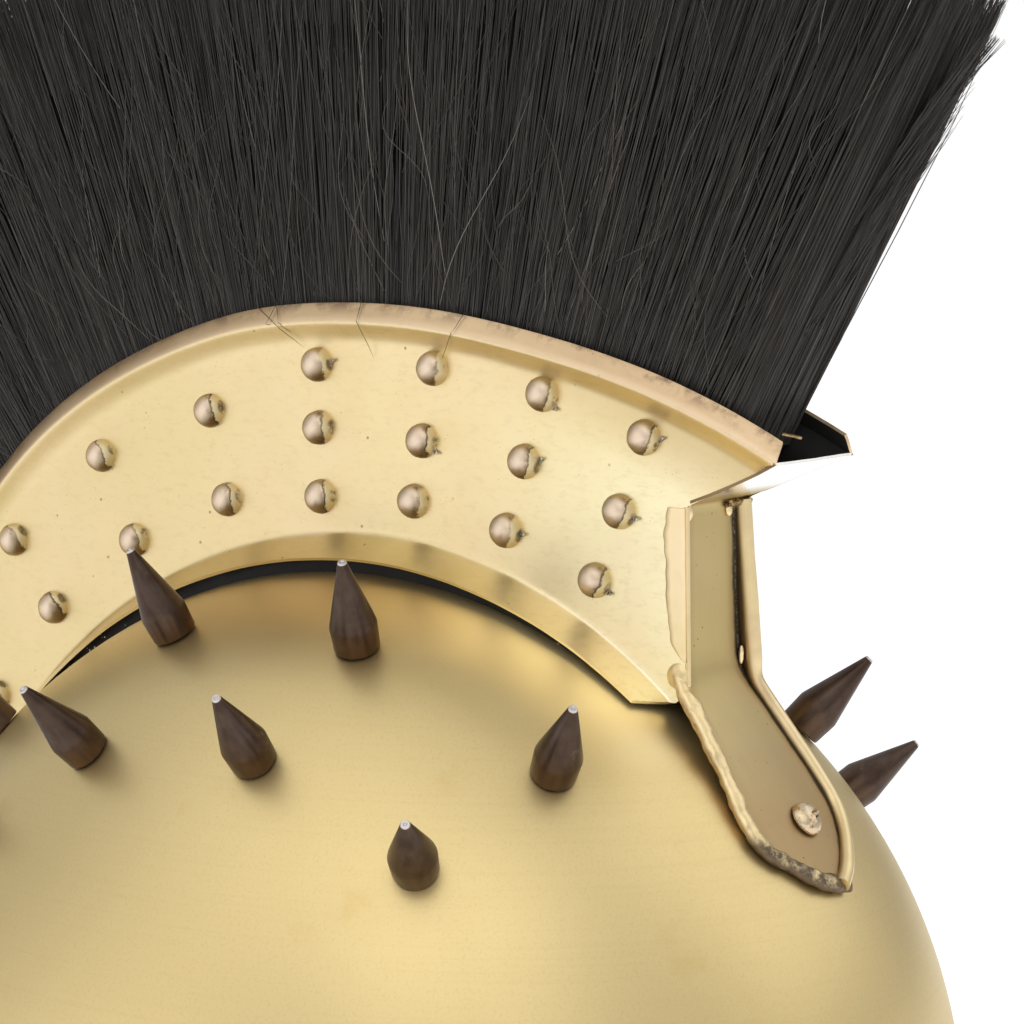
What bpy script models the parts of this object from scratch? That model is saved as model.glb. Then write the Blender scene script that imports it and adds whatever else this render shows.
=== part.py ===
"""Crested brass helmet: a hollow bowl with conical spikes and a soldered crest box full of bristles.

The helmet is worked out about the centre of its bowl, the front towards -Y and the wearer's right
side towards -X. Angles along the crest are measured about that centre from the crown, positive
towards the front. A parent empty then stands the helmet on its rim, with the origin at the bottom
centre of its bounding box.
"""
from collections import namedtuple
from math import cos, degrees, hypot, pi, radians, sin, sqrt

import bmesh
import bpy
from mathutils import Matrix, Vector

# Bowl, outside sizes in metres
BOWL_HALF_WIDTH = 0.1100
BOWL_HALF_LENGTH = 0.1275
BOWL_CROWN = 0.1225
BOWL_WALL = 0.0012
SKIRT_DEPTH = 0.0380
ROLLED_EDGE_HEIGHT = 0.0040
ROLLED_EDGE_REACH = 0.0020

# Outside of the rolled edge, as shares of its reach and height
EdgeRow = namedtuple("EdgeRow", "reach_share height_share")
ROLLED_EDGE_ROWS = (
    EdgeRow(0.0, 1.0),
    EdgeRow(0.8, 0.8),
    EdgeRow(1.0, 0.5),
    EdgeRow(0.7, 0.0),
)

# Crest box
CREST_HEIGHT = 0.0565
CREST_WIDTH = 0.0242
CREST_SHEET = 0.0011
CREST_FRONT_ANGLE = radians(34.0)
CREST_REAR_ANGLE = radians(-64.0)
LIP_DEPTH = 0.0083
LIP_REACH = 0.0034
LIP_RETURN = 0.0029
FOOT_REACH = 0.0076
FOOT_RISE_AT_CROWN = 0.0056
FOOT_RISE_AT_FRONT = 0.0004
FOOT_RISE_AT_REAR = 0.0016
FOOT_GAP_AT_CROWN = 0.0027
FOOT_GAP_AT_FRONT = 0.0003
FOOT_GAP_AT_REAR = 0.0012
FOOT_CURVE_POWER = 1.5
FOOT_SETBACK = 0.0037
FOOT_END_SLANT = 0.0046

# Height of the crest's lip above the bowl along the crest, as a share of CREST_HEIGHT
CrestRow = namedtuple("CrestRow", "angle_degrees height_share")
CREST_ROWS = (
    CrestRow(-64, 0.53),
    CrestRow(-38, 0.89),
    CrestRow(-15, 1.00),
    CrestRow(0, 1.00),
    CrestRow(15, 1.01),
    CrestRow(42, 1.15),
)

# Straps: each closes an end of the box, then bends to lie down the bowl
FRONT_BEND_ANGLE = radians(37.8)
REAR_BEND_ANGLE = radians(-66.0)
BEND_LIFT = 0.0060
STRAP_SHEET = 0.0012
STRAP_LIFT = 0.0006
STRAP_HALF_WIDTH = 0.0170
STRAP_FALL = radians(22.0)
STRAP_OVERHANG = 0.0003
PROW_ROOT_SHARE = 0.76
PROW_HOLLOW = 0.0008
SIDE_LAP = 0.0052
SIDE_LAP_SHEET = 0.0005
SIDE_LAP_LIFT = 0.0024
BORDER_RADIUS = 0.0017
SLIM_BORDER_RADIUS = 0.0012
BORDER_FORWARD = 0.0004

# Strap below its bend: fall along the bowl, half width and extra lift, as shares of their own sizes
StrapRow = namedtuple("StrapRow", "fall_share width_share lift_share")
STRAP_ROWS = (
    StrapRow(0.14, 0.77, 0.62),
    StrapRow(0.32, 0.88, 0.30),
    StrapRow(0.50, 0.96, 0.12),
    StrapRow(0.66, 1.00, 0.00),
    StrapRow(0.84, 0.52, 0.00),
    StrapRow(1.00, 0.10, 0.00),
)
STRAP_ACROSS_SHARES = (-1.0, -0.5, 0.0, 0.5, 1.0)

# Domed studs, one row of the table for each column of studs on the plate
STUD_RADIUS = 0.0038
STUD_HEIGHT = 0.0033
StudRow = namedtuple("StudRow", "foot_degrees lip_degrees height_shares")
STUD_ROWS = (
    StudRow(-53.4, -53.0, (0.35, 0.81)),
    StudRow(-41.7, -41.2, (0.33, 0.85)),
    StudRow(-29.3, -29.1, (0.30, 0.81)),
    StudRow(-17.5, -16.9, (0.28, 0.75)),
    StudRow(-6.7, -5.7, (0.21, 0.56, 0.88)),
    StudRow(3.8, 5.1, (0.22, 0.53, 0.90)),
    StudRow(14.3, 14.9, (0.22, 0.57, 0.91)),
    StudRow(24.9, 23.8, (0.21, 0.54, 0.89)),
)

# Half section of a stud's dome, as shares of its radius and height
DomeRow = namedtuple("DomeRow", "radius_share height_share")
STUD_DOME_ROWS = (
    DomeRow(0.82, 0.68),
    DomeRow(0.36, 1.00),
)

# Rivets through strap and bowl, with a rounded head
RIVET_DOME_ROWS = (
    DomeRow(1.00, 0.00),
    DomeRow(0.94, 0.45),
    DomeRow(0.66, 0.84),
    DomeRow(0.25, 1.00),
)
RIVET_TAIL_RADIUS = 0.0028
RIVET_TAIL_HEIGHT = 0.0010
RIVET_HEAD_RADIUS = 0.0038
RIVET_HEAD_HEIGHT = 0.0026
RIVET_SHANK_RADIUS = 0.0016
RIVET_FALL_SHARE = 0.69

# Spikes
SPIKE_LENGTH = 0.0217
SPIKE_BASE_RADIUS = 0.0048
SPIKE_SHOULDER_RADIUS = 0.0050
SPIKE_SHOULDER_SHARE = 0.26
SPIKE_TIP_RADIUS = 0.0010
SPIKE_POST_RADIUS = 0.0018
POST_REACH = 0.0012

# Two rows of spikes on each side of the crest; the left rows stand a little further forward
SpikeRow = namedtuple("SpikeRow", "row_name side_share front_to_rear_degrees")
SPIKE_ROWS = (
    SpikeRow("right_upper", -0.413, (38.1, 10.4, -14.9, -43.5)),
    SpikeRow("right_lower", -0.672, (38.1, 10.1, -18.2, -43.5)),
    SpikeRow("left_upper", 0.365, (40.6, 10.4, -14.9, -43.5)),
    SpikeRow("left_lower", 0.630, (45.5, 10.1, -18.2, -43.5)),
)

# Bristle fan
PLUME_REACH = 0.0985
PLUME_DEPTH_IN_BOX = 0.0120
PLUME_HALF_THICKNESS = 0.0130
PLUME_FRONT_ANGLE = radians(30.3)
PLUME_REAR_ANGLE = radians(-61.5)
PLUME_LOCKS = 30
LOCK_RIDGE = 0.0009
LOCK_STAGGER = 0.0030
LOCK_STAGGER_TURN = 2.3

# Length of the bristles along the crest, as a share of PLUME_REACH
PlumeRow = namedtuple("PlumeRow", "angle_degrees reach_share")
PLUME_ROWS = (
    PlumeRow(-61.5, 0.84),
    PlumeRow(-30, 1.00),
    PlumeRow(0, 1.00),
    PlumeRow(30.3, 0.91),
)

# Half thickness of the fan above the lip: spread from its root to full, shares of reach and of ridge
FanRow = namedtuple("FanRow", "reach_share spread_share ridge_share")
FAN_ROWS = (
    FanRow(0.00, 0.00, 0.0),
    FanRow(0.25, 0.50, 0.5),
    FanRow(0.65, 1.00, 1.0),
    FanRow(0.93, 0.80, 1.0),
    FanRow(1.00, -1.20, 0.0),
)

# Fits and fineness
CLEARANCE = 0.0003
BOWL_SEGMENTS = 44
DOME_RINGS = 12
CREST_STATIONS = 26
STUD_SIDES = 10
SPIKE_SIDES = 10
DRILL_SIDES = 8
BORDER_SIDES = 8
CUTTER_MARGIN = 0.0300
SHELL_MARGIN = radians(4.0)


def bowl_radius(angle, x=0.0):
    """Distance from the bowl's centre line to its outside, in the plane at x, along a crest angle."""
    level = max(cos(angle), 0.0) / BOWL_CROWN
    return sqrt(1 - (x / BOWL_HALF_WIDTH) ** 2) / hypot(sin(angle) / BOWL_HALF_LENGTH, level)


def crest_point(x, radius, angle):
    """Point in the helmet's frame from its polar place along the crest."""
    return Vector((x, -radius * sin(angle), radius * cos(angle)))


def smooth_value(rows, angle):
    """Value of a two-column table at an angle, along a smooth curve through its rows."""
    place = degrees(angle)
    last = len(rows) - 1
    low = 0
    while low < last - 1 and place > rows[low + 1][0]:
        low += 1
    before = rows[max(low - 1, 0)]
    start, end = rows[low], rows[low + 1]
    after = rows[min(low + 2, last)]
    span = end[0] - start[0]
    t = (place - start[0]) / span
    slope_start = (end[1] - before[1]) / (end[0] - before[0]) * span
    slope_end = (after[1] - start[1]) / (after[0] - start[0]) * span
    return (
        (2 * t**3 - 3 * t**2 + 1) * start[1]
        + (t**3 - 2 * t**2 + t) * slope_start
        + (3 * t**2 - 2 * t**3) * end[1]
        + (t**3 - t**2) * slope_end
    )


def lip_radius(angle):
    """Radius of the crest's top edge."""
    return bowl_radius(angle) + CREST_HEIGHT * smooth_value(CREST_ROWS, angle)


def foot_value(angle, crown, front, rear):
    """A size of the foot at a crest angle, from its values at the crown and at the crest's ends."""
    end_angle, end_value = (FRONT_BEND_ANGLE, front) if angle > 0 else (CREST_REAR_ANGLE, rear)
    share = min(angle / end_angle, 1.0) ** FOOT_CURVE_POWER
    return crown + (end_value - crown) * share


def foot_crease_radius(angle):
    """Radius of the crease where the side plate turns out into its foot."""
    rise = foot_value(angle, FOOT_RISE_AT_CROWN, FOOT_RISE_AT_FRONT, FOOT_RISE_AT_REAR)
    return bowl_radius(angle) + rise


def foot_edge_radius(angle):
    """Radius of the foot's lower outer edge, a small gap above the bowl."""
    gap = foot_value(angle, FOOT_GAP_AT_CROWN, FOOT_GAP_AT_FRONT, FOOT_GAP_AT_REAR)
    return bowl_radius(angle, CREST_WIDTH / 2 + FOOT_REACH) + gap + CREST_SHEET


def bowl_frame(x, angle):
    """Point on the bowl's outside and the matrix that turns +Z to its normal there."""
    point = crest_point(x, bowl_radius(angle, x), angle)
    normal = Vector(
        (point.x / BOWL_HALF_WIDTH**2, point.y / BOWL_HALF_LENGTH**2, max(point.z, 0) / BOWL_CROWN**2)
    ).normalized()
    return point, normal.to_track_quat("Z", "Y").to_matrix().to_4x4()


def make_material(name, colour, metallic, roughness):
    """Plain material with one base colour."""
    material = bpy.data.materials.new(name)
    material.use_nodes = True
    shader = material.node_tree.nodes["Principled BSDF"]
    shader.inputs["Base Color"].default_value = (*colour, 1.0)
    shader.inputs["Metallic"].default_value = metallic
    shader.inputs["Roughness"].default_value = roughness
    return material


def make_object(name, mesh_data, material=None, guide=False, split=False):
    """Object from a bmesh, with all faces turned outwards; a guide only cuts or joins others.

    Bent sheet is split into triangles, so that every face stays flat through its booleans.
    """
    bmesh.ops.recalc_face_normals(mesh_data, faces=mesh_data.faces)
    if split:
        bmesh.ops.triangulate(mesh_data, faces=mesh_data.faces)
    mesh = bpy.data.meshes.new(name)
    mesh_data.to_mesh(mesh)
    mesh_data.free()
    mesh.shade_smooth()
    mesh.set_sharp_from_angle(angle=radians(40))
    made = bpy.data.objects.new(name, mesh)
    bpy.context.scene.collection.objects.link(made)
    if material:
        mesh.materials.append(material)
    if guide:
        made.hide_render = True
        made.display_type = "WIRE"
    return made


def add_boolean(target, tool, operation):
    """Exact boolean of one object with another."""
    modifier = target.modifiers.new(tool.name, "BOOLEAN")
    modifier.operation = operation
    modifier.solver = "EXACT"
    modifier.object = tool


def loft(mesh_data, sections, capped=True):
    """Skin through closed sections with equal numbers of points, with flat ends."""
    rings = [[mesh_data.verts.new(point) for point in section] for section in sections]
    count = len(rings[0])
    for ring, following in zip(rings, rings[1:]):
        for i in range(count):
            j = (i + 1) % count
            mesh_data.faces.new((ring[i], ring[j], following[j], following[i]))
    if capped:
        mesh_data.faces.new(reversed(rings[0]))
        mesh_data.faces.new(rings[-1])
    return rings


def turned(mesh_data, profile, sides, matrix):
    """Solid turned about its own Z from (radius, height) pairs, closed flat at both ends."""
    sections = []
    for radius, height in profile:
        section = []
        for i in range(sides):
            turn = 2 * pi * i / sides
            section.append(matrix @ Vector((radius * cos(turn), radius * sin(turn), height)))
        sections.append(section)
    loft(mesh_data, sections)


def tube(mesh_data, centres, radii, sides):
    """Round bar through a line of centres, with flat ends."""
    sections = []
    side_axis = None
    for i, centre in enumerate(centres):
        ahead = centres[min(i + 1, len(centres) - 1)]
        behind = centres[max(i - 1, 0)]
        along = (ahead - behind).normalized()
        if side_axis is None:
            side_axis = along.orthogonal().normalized()
        side_axis = (side_axis - along * side_axis.dot(along)).normalized()
        up_axis = along.cross(side_axis)
        section = []
        for k in range(sides):
            turn = 2 * pi * k / sides
            section.append(centre + (side_axis * cos(turn) + up_axis * sin(turn)) * radii[i])
        sections.append(section)
    loft(mesh_data, sections)


def offset_path(path, distance):
    """Line of (u, v) points moved sideways by a distance, mitred at its corners."""
    normals = []
    for (u0, v0), (u1, v1) in zip(path, path[1:]):
        length = hypot(u1 - u0, v1 - v0)
        normals.append(((v1 - v0) / length, -(u1 - u0) / length))
    moved = []
    for i, (u, v) in enumerate(path):
        before = normals[max(i - 1, 0)]
        after = normals[min(i, len(normals) - 1)]
        share = 1 + before[0] * after[0] + before[1] * after[1]
        moved.append(
            (u + distance * (before[0] + after[0]) / share, v + distance * (before[1] + after[1]) / share)
        )
    return moved


def bowl_ring(half_width, half_length, height):
    """One level ring round the bowl."""
    ring = []
    for i in range(BOWL_SEGMENTS):
        turn = 2 * pi * (i + 0.5) / BOWL_SEGMENTS
        ring.append(Vector((half_width * cos(turn), half_length * sin(turn), height)))
    return ring


def make_bowl(material, cutters):
    """Hollow bowl with an upright skirt, a rolled edge with a flat underside, and drilled holes."""
    mesh_data = bmesh.new()
    bottom = -SKIRT_DEPTH
    sections = []
    for i in range(1, DOME_RINGS + 1):
        lean = pi / 2 * i / DOME_RINGS
        sections.append(
            bowl_ring(BOWL_HALF_WIDTH * sin(lean), BOWL_HALF_LENGTH * sin(lean), BOWL_CROWN * cos(lean))
        )
    edge = [(ROLLED_EDGE_REACH * row[0], ROLLED_EDGE_HEIGHT * row[1]) for row in ROLLED_EDGE_ROWS]
    edge.append((-BOWL_WALL, 0.0))
    for reach, height in edge:
        sections.append(bowl_ring(BOWL_HALF_WIDTH + reach, BOWL_HALF_LENGTH + reach, bottom + height))
    for i in range(DOME_RINGS, 0, -1):
        lean = pi / 2 * i / DOME_RINGS
        sections.append(
            bowl_ring(
                (BOWL_HALF_WIDTH - BOWL_WALL) * sin(lean),
                (BOWL_HALF_LENGTH - BOWL_WALL) * sin(lean),
                (BOWL_CROWN - BOWL_WALL) * cos(lean),
            )
        )
    rings = loft(mesh_data, sections, capped=False)
    for ring, crown in ((rings[0], BOWL_CROWN), (rings[-1], BOWL_CROWN - BOWL_WALL)):
        pole = mesh_data.verts.new((0.0, 0.0, crown))
        for i, vertex in enumerate(ring):
            mesh_data.faces.new((vertex, ring[(i + 1) % len(ring)], pole))
    bowl = make_object("bowl", mesh_data, material)
    add_boolean(bowl, cutters, "DIFFERENCE")
    return bowl


def spike_places():
    """Name, side distance and crest angle of every spike."""
    places = []
    for row in SPIKE_ROWS:
        for number, angle_degrees in enumerate(row.front_to_rear_degrees, start=1):
            name = f"spike_{row.row_name}_{number}"
            places.append((name, row.side_share * BOWL_HALF_WIDTH, radians(angle_degrees)))
    return places


def make_spikes(material):
    """Conical spikes standing square on the bowl, each with a post through the wall."""
    profile = (
        (SPIKE_POST_RADIUS, -BOWL_WALL - POST_REACH),
        (SPIKE_POST_RADIUS, CLEARANCE),
        (SPIKE_BASE_RADIUS, CLEARANCE),
        (SPIKE_SHOULDER_RADIUS, SPIKE_LENGTH * SPIKE_SHOULDER_SHARE),
        (SPIKE_TIP_RADIUS, SPIKE_LENGTH),
    )
    spikes = []
    for name, x, angle in spike_places():
        mesh_data = bmesh.new()
        turned(mesh_data, profile, SPIKE_SIDES, Matrix.Identity(4))
        spike = make_object(name, mesh_data, material)
        point, turn = bowl_frame(x, angle)
        spike.matrix_world = Matrix.Translation(point) @ turn
        spikes.append(spike)
    return spikes


def rivet_angles():
    """Crest angles of the front and the rear rivet."""
    front = FRONT_BEND_ANGLE + STRAP_FALL * RIVET_FALL_SHARE
    rear = REAR_BEND_ANGLE - STRAP_FALL * RIVET_FALL_SHARE
    return (("front_rivet", front), ("rear_rivet", rear))


def make_rivets(material):
    """Round-headed rivets through strap and bowl, each with a small closed head inside."""
    head_seat = STRAP_LIFT + STRAP_SHEET + CLEARANCE
    inner_seat = -BOWL_WALL - 2 * CLEARANCE
    profile = [
        (RIVET_TAIL_RADIUS, inner_seat - RIVET_TAIL_HEIGHT),
        (RIVET_TAIL_RADIUS, inner_seat),
        (RIVET_SHANK_RADIUS, inner_seat),
        (RIVET_SHANK_RADIUS, head_seat),
    ]
    for row in RIVET_DOME_ROWS:
        profile.append((RIVET_HEAD_RADIUS * row[0], head_seat + RIVET_HEAD_HEIGHT * row[1]))
    rivets = []
    for name, angle in rivet_angles():
        mesh_data = bmesh.new()
        turned(mesh_data, profile, SPIKE_SIDES, Matrix.Identity(4))
        rivet = make_object(name, mesh_data, material)
        point, turn = bowl_frame(0.0, angle)
        rivet.matrix_world = Matrix.Translation(point) @ turn
        rivets.append(rivet)
    return rivets


def make_bowl_holes():
    """Drills for the spike posts and the rivets."""
    mesh_data = bmesh.new()
    drill = ((1.0, -BOWL_WALL - CUTTER_MARGIN / 4), (1.0, CUTTER_MARGIN / 4))
    places = [(x, angle, SPIKE_POST_RADIUS + CLEARANCE) for _, x, angle in spike_places()]
    places += [(0.0, angle, RIVET_SHANK_RADIUS + CLEARANCE) for _, angle in rivet_angles()]
    for x, angle, radius in places:
        point, turn = bowl_frame(x, angle)
        profile = [(radius * share, height) for share, height in drill]
        turned(mesh_data, profile, DRILL_SIDES, Matrix.Translation(point) @ turn)
    return make_object("bowl_drills", mesh_data, guide=True)


def side_section(angle, side):
    """Section of one side plate with its foot and lip, as a closed line of points."""
    face = CREST_WIDTH / 2
    top = lip_radius(angle)
    outside = [
        (face + FOOT_REACH, foot_edge_radius(angle)),
        (face, foot_crease_radius(angle) + CREST_SHEET),
        (face, top - LIP_DEPTH),
        (face + LIP_REACH, top - LIP_DEPTH / 2),
        (face + LIP_REACH - LIP_RETURN, top),
    ]
    inside = offset_path(outside, -CREST_SHEET)
    section = outside + inside[::-1]
    return [crest_point(side * x, radius, angle) for x, radius in section]


def front_outline():
    """Line in the helmet's middle plane down the front of the crest: tip, root and bend."""
    bend = crest_point(0.0, bowl_radius(FRONT_BEND_ANGLE) + BEND_LIFT, FRONT_BEND_ANGLE)
    tip = crest_point(0.0, lip_radius(CREST_FRONT_ANGLE) - LIP_DEPTH / 2, CREST_FRONT_ANGLE)
    root = Vector((0.0, bend.y, bend.z + (tip.z - bend.z) * PROW_ROOT_SHARE))
    middle = (tip + root) / 2
    along = (tip - root).normalized()
    middle += Vector((0.0, along.z, -along.y)) * PROW_HOLLOW
    quarter = (root + middle) / 2 + Vector((0.0, along.z, -along.y)) * PROW_HOLLOW / 4
    three_quarter = (tip + middle) / 2 + Vector((0.0, along.z, -along.y)) * PROW_HOLLOW / 4
    return [tip, three_quarter, middle, quarter, root, bend]


def make_front_cutter():
    """Block that trims the side plates to the line of the front strap and the prow."""
    outline = front_outline()
    tip, bend = outline[0], outline[-1]
    ahead = tip.y - CUTTER_MARGIN
    points = [Vector((0.0, ahead, tip.z + CUTTER_MARGIN)), Vector((0.0, tip.y, tip.z + CUTTER_MARGIN))]
    points += outline
    points += [Vector((0.0, bend.y, bend.z - CUTTER_MARGIN)), Vector((0.0, ahead, bend.z - CUTTER_MARGIN))]
    mesh_data = bmesh.new()
    reach = CREST_WIDTH / 2 + FOOT_REACH + CUTTER_MARGIN
    loft(mesh_data, [[point + Vector((x, 0.0, 0.0)) for point in points] for x in (-reach, reach)])
    return make_object("front_trim", mesh_data, guide=True, split=True)


def make_foot_cutter():
    """Blocks that end the flared feet a little behind the front strap."""
    bend = front_outline()[-1]
    mesh_data = bmesh.new()
    inner = CREST_WIDTH / 2 + STRAP_OVERHANG / 2
    outer = inner + FOOT_REACH + CUTTER_MARGIN
    back = bend.y + FOOT_SETBACK
    top = bend.z + CUTTER_MARGIN / 2
    bottom = bend.z - CUTTER_MARGIN
    for side in (-1, 1):
        sections = []
        for height in (bottom, top):
            sections.append(
                [
                    Vector((side * inner, bend.y - CUTTER_MARGIN, height)),
                    Vector((side * outer, bend.y - CUTTER_MARGIN, height)),
                    Vector((side * outer, back + FOOT_END_SLANT * (outer - inner) / FOOT_REACH, height)),
                    Vector((side * inner, back, height)),
                ]
            )
        loft(mesh_data, sections)
    return make_object("foot_trim", mesh_data, guide=True, split=True)


def make_side_shells():
    """Both bent side plates, from the rear end of the crest to past the front."""
    mesh_data = bmesh.new()
    front = FRONT_BEND_ANGLE + SHELL_MARGIN
    for side in (-1, 1):
        sections = []
        for i in range(CREST_STATIONS + 1):
            angle = CREST_REAR_ANGLE + (front - CREST_REAR_ANGLE) * i / CREST_STATIONS
            sections.append(side_section(angle, side))
        loft(mesh_data, sections)
    return mesh_data


def make_studs():
    """Domed studs on both side plates, sunk a little into the sheet."""
    mesh_data = bmesh.new()
    face = CREST_WIDTH / 2
    profile = [(STUD_RADIUS, -CREST_SHEET / 2)]
    profile += [(STUD_RADIUS * row[0], STUD_HEIGHT * row[1]) for row in STUD_DOME_ROWS]
    for row in STUD_ROWS:
        for share in row.height_shares:
            angle = radians(row.foot_degrees + (row.lip_degrees - row.foot_degrees) * share)
            low = foot_crease_radius(angle)
            high = lip_radius(angle) - LIP_DEPTH
            for side in (-1, 1):
                centre = crest_point(side * face, low + (high - low) * share, angle)
                turn = Matrix.Rotation(side * pi / 2, 4, "Y")
                turned(mesh_data, profile, STUD_SIDES, Matrix.Translation(centre) @ turn)
    return make_object("studs", mesh_data, guide=True)


def strap_rows(bend_angle, direction):
    """Rows of a strap below its bend: crest angle, half width and lift of its underside."""
    rows = []
    for row in STRAP_ROWS:
        angle = bend_angle + direction * STRAP_FALL * row.fall_share
        lift = STRAP_LIFT + (BEND_LIFT - STRAP_LIFT) * row.lift_share
        rows.append((angle, STRAP_HALF_WIDTH * row.width_share, lift))
    return rows


def strap_points(x_list, angle, lift):
    """Points across a strap, all the same lift above the bowl."""
    return [crest_point(x, bowl_radius(angle, x) + lift, angle) for x in x_list]


def strap_sheet(upper_line, bend_angle, direction):
    """Sheet of a strap: the upper line closes the end of the box, the rest lies down the bowl."""
    half = CREST_WIDTH / 2 + STRAP_OVERHANG
    inner_rows = []
    outer_rows = []
    for i, point in enumerate(upper_line):
        ahead = upper_line[min(i + 1, len(upper_line) - 1)]
        behind = upper_line[max(i - 1, 0)]
        along = (ahead - behind).normalized()
        outward = Vector((0.0, -along.z, along.y))
        if outward.y * direction > 0:
            outward = -outward
        if i == len(upper_line) - 1:
            outward = (outward + crest_point(0.0, 1.0, bend_angle)).normalized()
        across = [Vector((half * share, 0, 0)) for share in STRAP_ACROSS_SHARES]
        inner_rows.append([point - outward * STRAP_SHEET / 3 + step for step in across])
        outer_rows.append([point + outward * STRAP_SHEET * 2 / 3 + step for step in across])
    for angle, half_width, lift in strap_rows(bend_angle, direction):
        x_list = [half_width * share for share in STRAP_ACROSS_SHARES]
        inner_rows.append(strap_points(x_list, angle, lift))
        outer_rows.append(strap_points(x_list, angle, lift + STRAP_SHEET))
    return [inner + outer[::-1] for inner, outer in zip(inner_rows, outer_rows)]


def border_line(upper_line, bend_angle, direction, side, radius):
    """Centres of the rolled border along one edge of a strap, from its top to its point."""
    edge = CREST_WIDTH / 2 - radius
    forward = Vector((0.0, -direction * BORDER_FORWARD, 0.0))
    line = [point + forward + Vector((side * edge, 0, 0)) for point in upper_line]
    rows = strap_rows(bend_angle, direction)
    for angle, half_width, lift in rows:
        x = side * (half_width - BORDER_RADIUS / 2)
        if angle == rows[-1][0]:
            x = 0.0
        line.append(crest_point(x, bowl_radius(angle, x) + lift + BORDER_RADIUS + STRAP_LIFT, angle))
    return line


def make_straps():
    """Front strap with its prow, and the plainer rear strap, with rolled borders and side laps."""
    parts = []
    front = front_outline()
    mesh_data = bmesh.new()
    loft(mesh_data, strap_sheet(front, FRONT_BEND_ANGLE, 1))
    parts.append(make_object("front_strap_sheet", mesh_data, guide=True, split=True))

    bend_radius = bowl_radius(REAR_BEND_ANGLE) + BEND_LIFT
    rear_top = crest_point(0.0, lip_radius(CREST_REAR_ANGLE) - LIP_DEPTH / 2, CREST_REAR_ANGLE)
    rear = [rear_top, crest_point(0.0, bend_radius, CREST_REAR_ANGLE)]
    mesh_data = bmesh.new()
    loft(mesh_data, strap_sheet(rear, REAR_BEND_ANGLE, -1))
    parts.append(make_object("rear_strap_sheet", mesh_data, guide=True, split=True))

    for end_name, upper, bend_angle, direction in (
        ("front", front[-2:], FRONT_BEND_ANGLE, 1),
        ("rear", rear, REAR_BEND_ANGLE, -1),
    ):
        right_radius = SLIM_BORDER_RADIUS if end_name == "front" else BORDER_RADIUS
        right = border_line(upper, bend_angle, direction, -1, right_radius)
        left = border_line(upper, bend_angle, direction, 1, BORDER_RADIUS)
        mesh_data = bmesh.new()
        centres = right + left[-2::-1]
        radii = [right_radius] * len(upper) + [BORDER_RADIUS] * (len(centres) - len(upper))
        tube(mesh_data, centres, radii, BORDER_SIDES)
        parts.append(make_object(f"{end_name}_border", mesh_data, guide=True, split=True))

    root, bend = front[-2], front[-1]
    mesh_data = bmesh.new()
    inner = CREST_WIDTH / 2 - CREST_SHEET / 2
    outer = CREST_WIDTH / 2 + SIDE_LAP_SHEET
    for side in (-1, 1):
        sections = []
        for y in (root.y - STRAP_SHEET / 3, root.y + SIDE_LAP):
            sections.append(
                [
                    Vector((side * inner, y, bend.z + SIDE_LAP_LIFT)),
                    Vector((side * outer, y, bend.z + SIDE_LAP_LIFT)),
                    Vector((side * outer, y, root.z - STRAP_SHEET)),
                    Vector((side * inner, y, root.z - STRAP_SHEET)),
                ]
            )
        loft(mesh_data, sections)
    parts.append(make_object("side_laps", mesh_data, guide=True, split=True))
    return parts


def make_strap_holes():
    """Drills for the rivets through the straps."""
    mesh_data = bmesh.new()
    radius = RIVET_SHANK_RADIUS + CLEARANCE
    for _, angle in rivet_angles():
        point, turn = bowl_frame(0.0, angle)
        profile = ((radius, 0.0), (radius, STRAP_LIFT + STRAP_SHEET * 2))
        turned(mesh_data, profile, DRILL_SIDES, Matrix.Translation(point) @ turn)
    return make_object("strap_drills", mesh_data, guide=True)


def make_crest_box(material):
    """Soldered crest box: trimmed side plates, studs, straps and borders in one solid."""
    box = make_object("crest_box", make_side_shells(), material, split=True)
    add_boolean(box, make_front_cutter(), "DIFFERENCE")
    add_boolean(box, make_foot_cutter(), "DIFFERENCE")
    for part in make_straps():
        add_boolean(box, part, "UNION")
    add_boolean(box, make_studs(), "UNION")
    add_boolean(box, make_strap_holes(), "DIFFERENCE")
    return box


def plume_section(angle, ridge, tip_change):
    """Section across the bristle fan at one crest angle, from its backing out to its tips."""
    rooted = CREST_WIDTH / 2 - CREST_SHEET - CLEARANCE
    mouth = lip_radius(angle)
    base = mouth - PLUME_DEPTH_IN_BOX
    tip = mouth + PLUME_REACH * smooth_value(PLUME_ROWS, angle) + tip_change
    outline = [(rooted, base)]
    for row in FAN_ROWS:
        x = rooted + (PLUME_HALF_THICKNESS - rooted) * row.spread_share + ridge * row.ridge_share
        outline.append((x, mouth + (tip - mouth) * row.reach_share))
    section = outline + [(-x, radius) for x, radius in reversed(outline)]
    return [crest_point(x, radius, angle) for x, radius in section]


def make_plume(material):
    """Fan of bristles in upright locks, fused to the backing that sits between the side plates."""
    mesh_data = bmesh.new()
    sections = []
    count = 2 * PLUME_LOCKS
    for i in range(count + 1):
        angle = PLUME_REAR_ANGLE + (PLUME_FRONT_ANGLE - PLUME_REAR_ANGLE) * i / count
        on_ridge = i % 2 == 1
        ridge = LOCK_RIDGE if on_ridge else -LOCK_RIDGE
        stagger = LOCK_STAGGER * sin(LOCK_STAGGER_TURN * i) if on_ridge else -LOCK_STAGGER
        sections.append(plume_section(angle, ridge, stagger))
    loft(mesh_data, sections)
    return make_object("plume", mesh_data, material)


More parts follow.
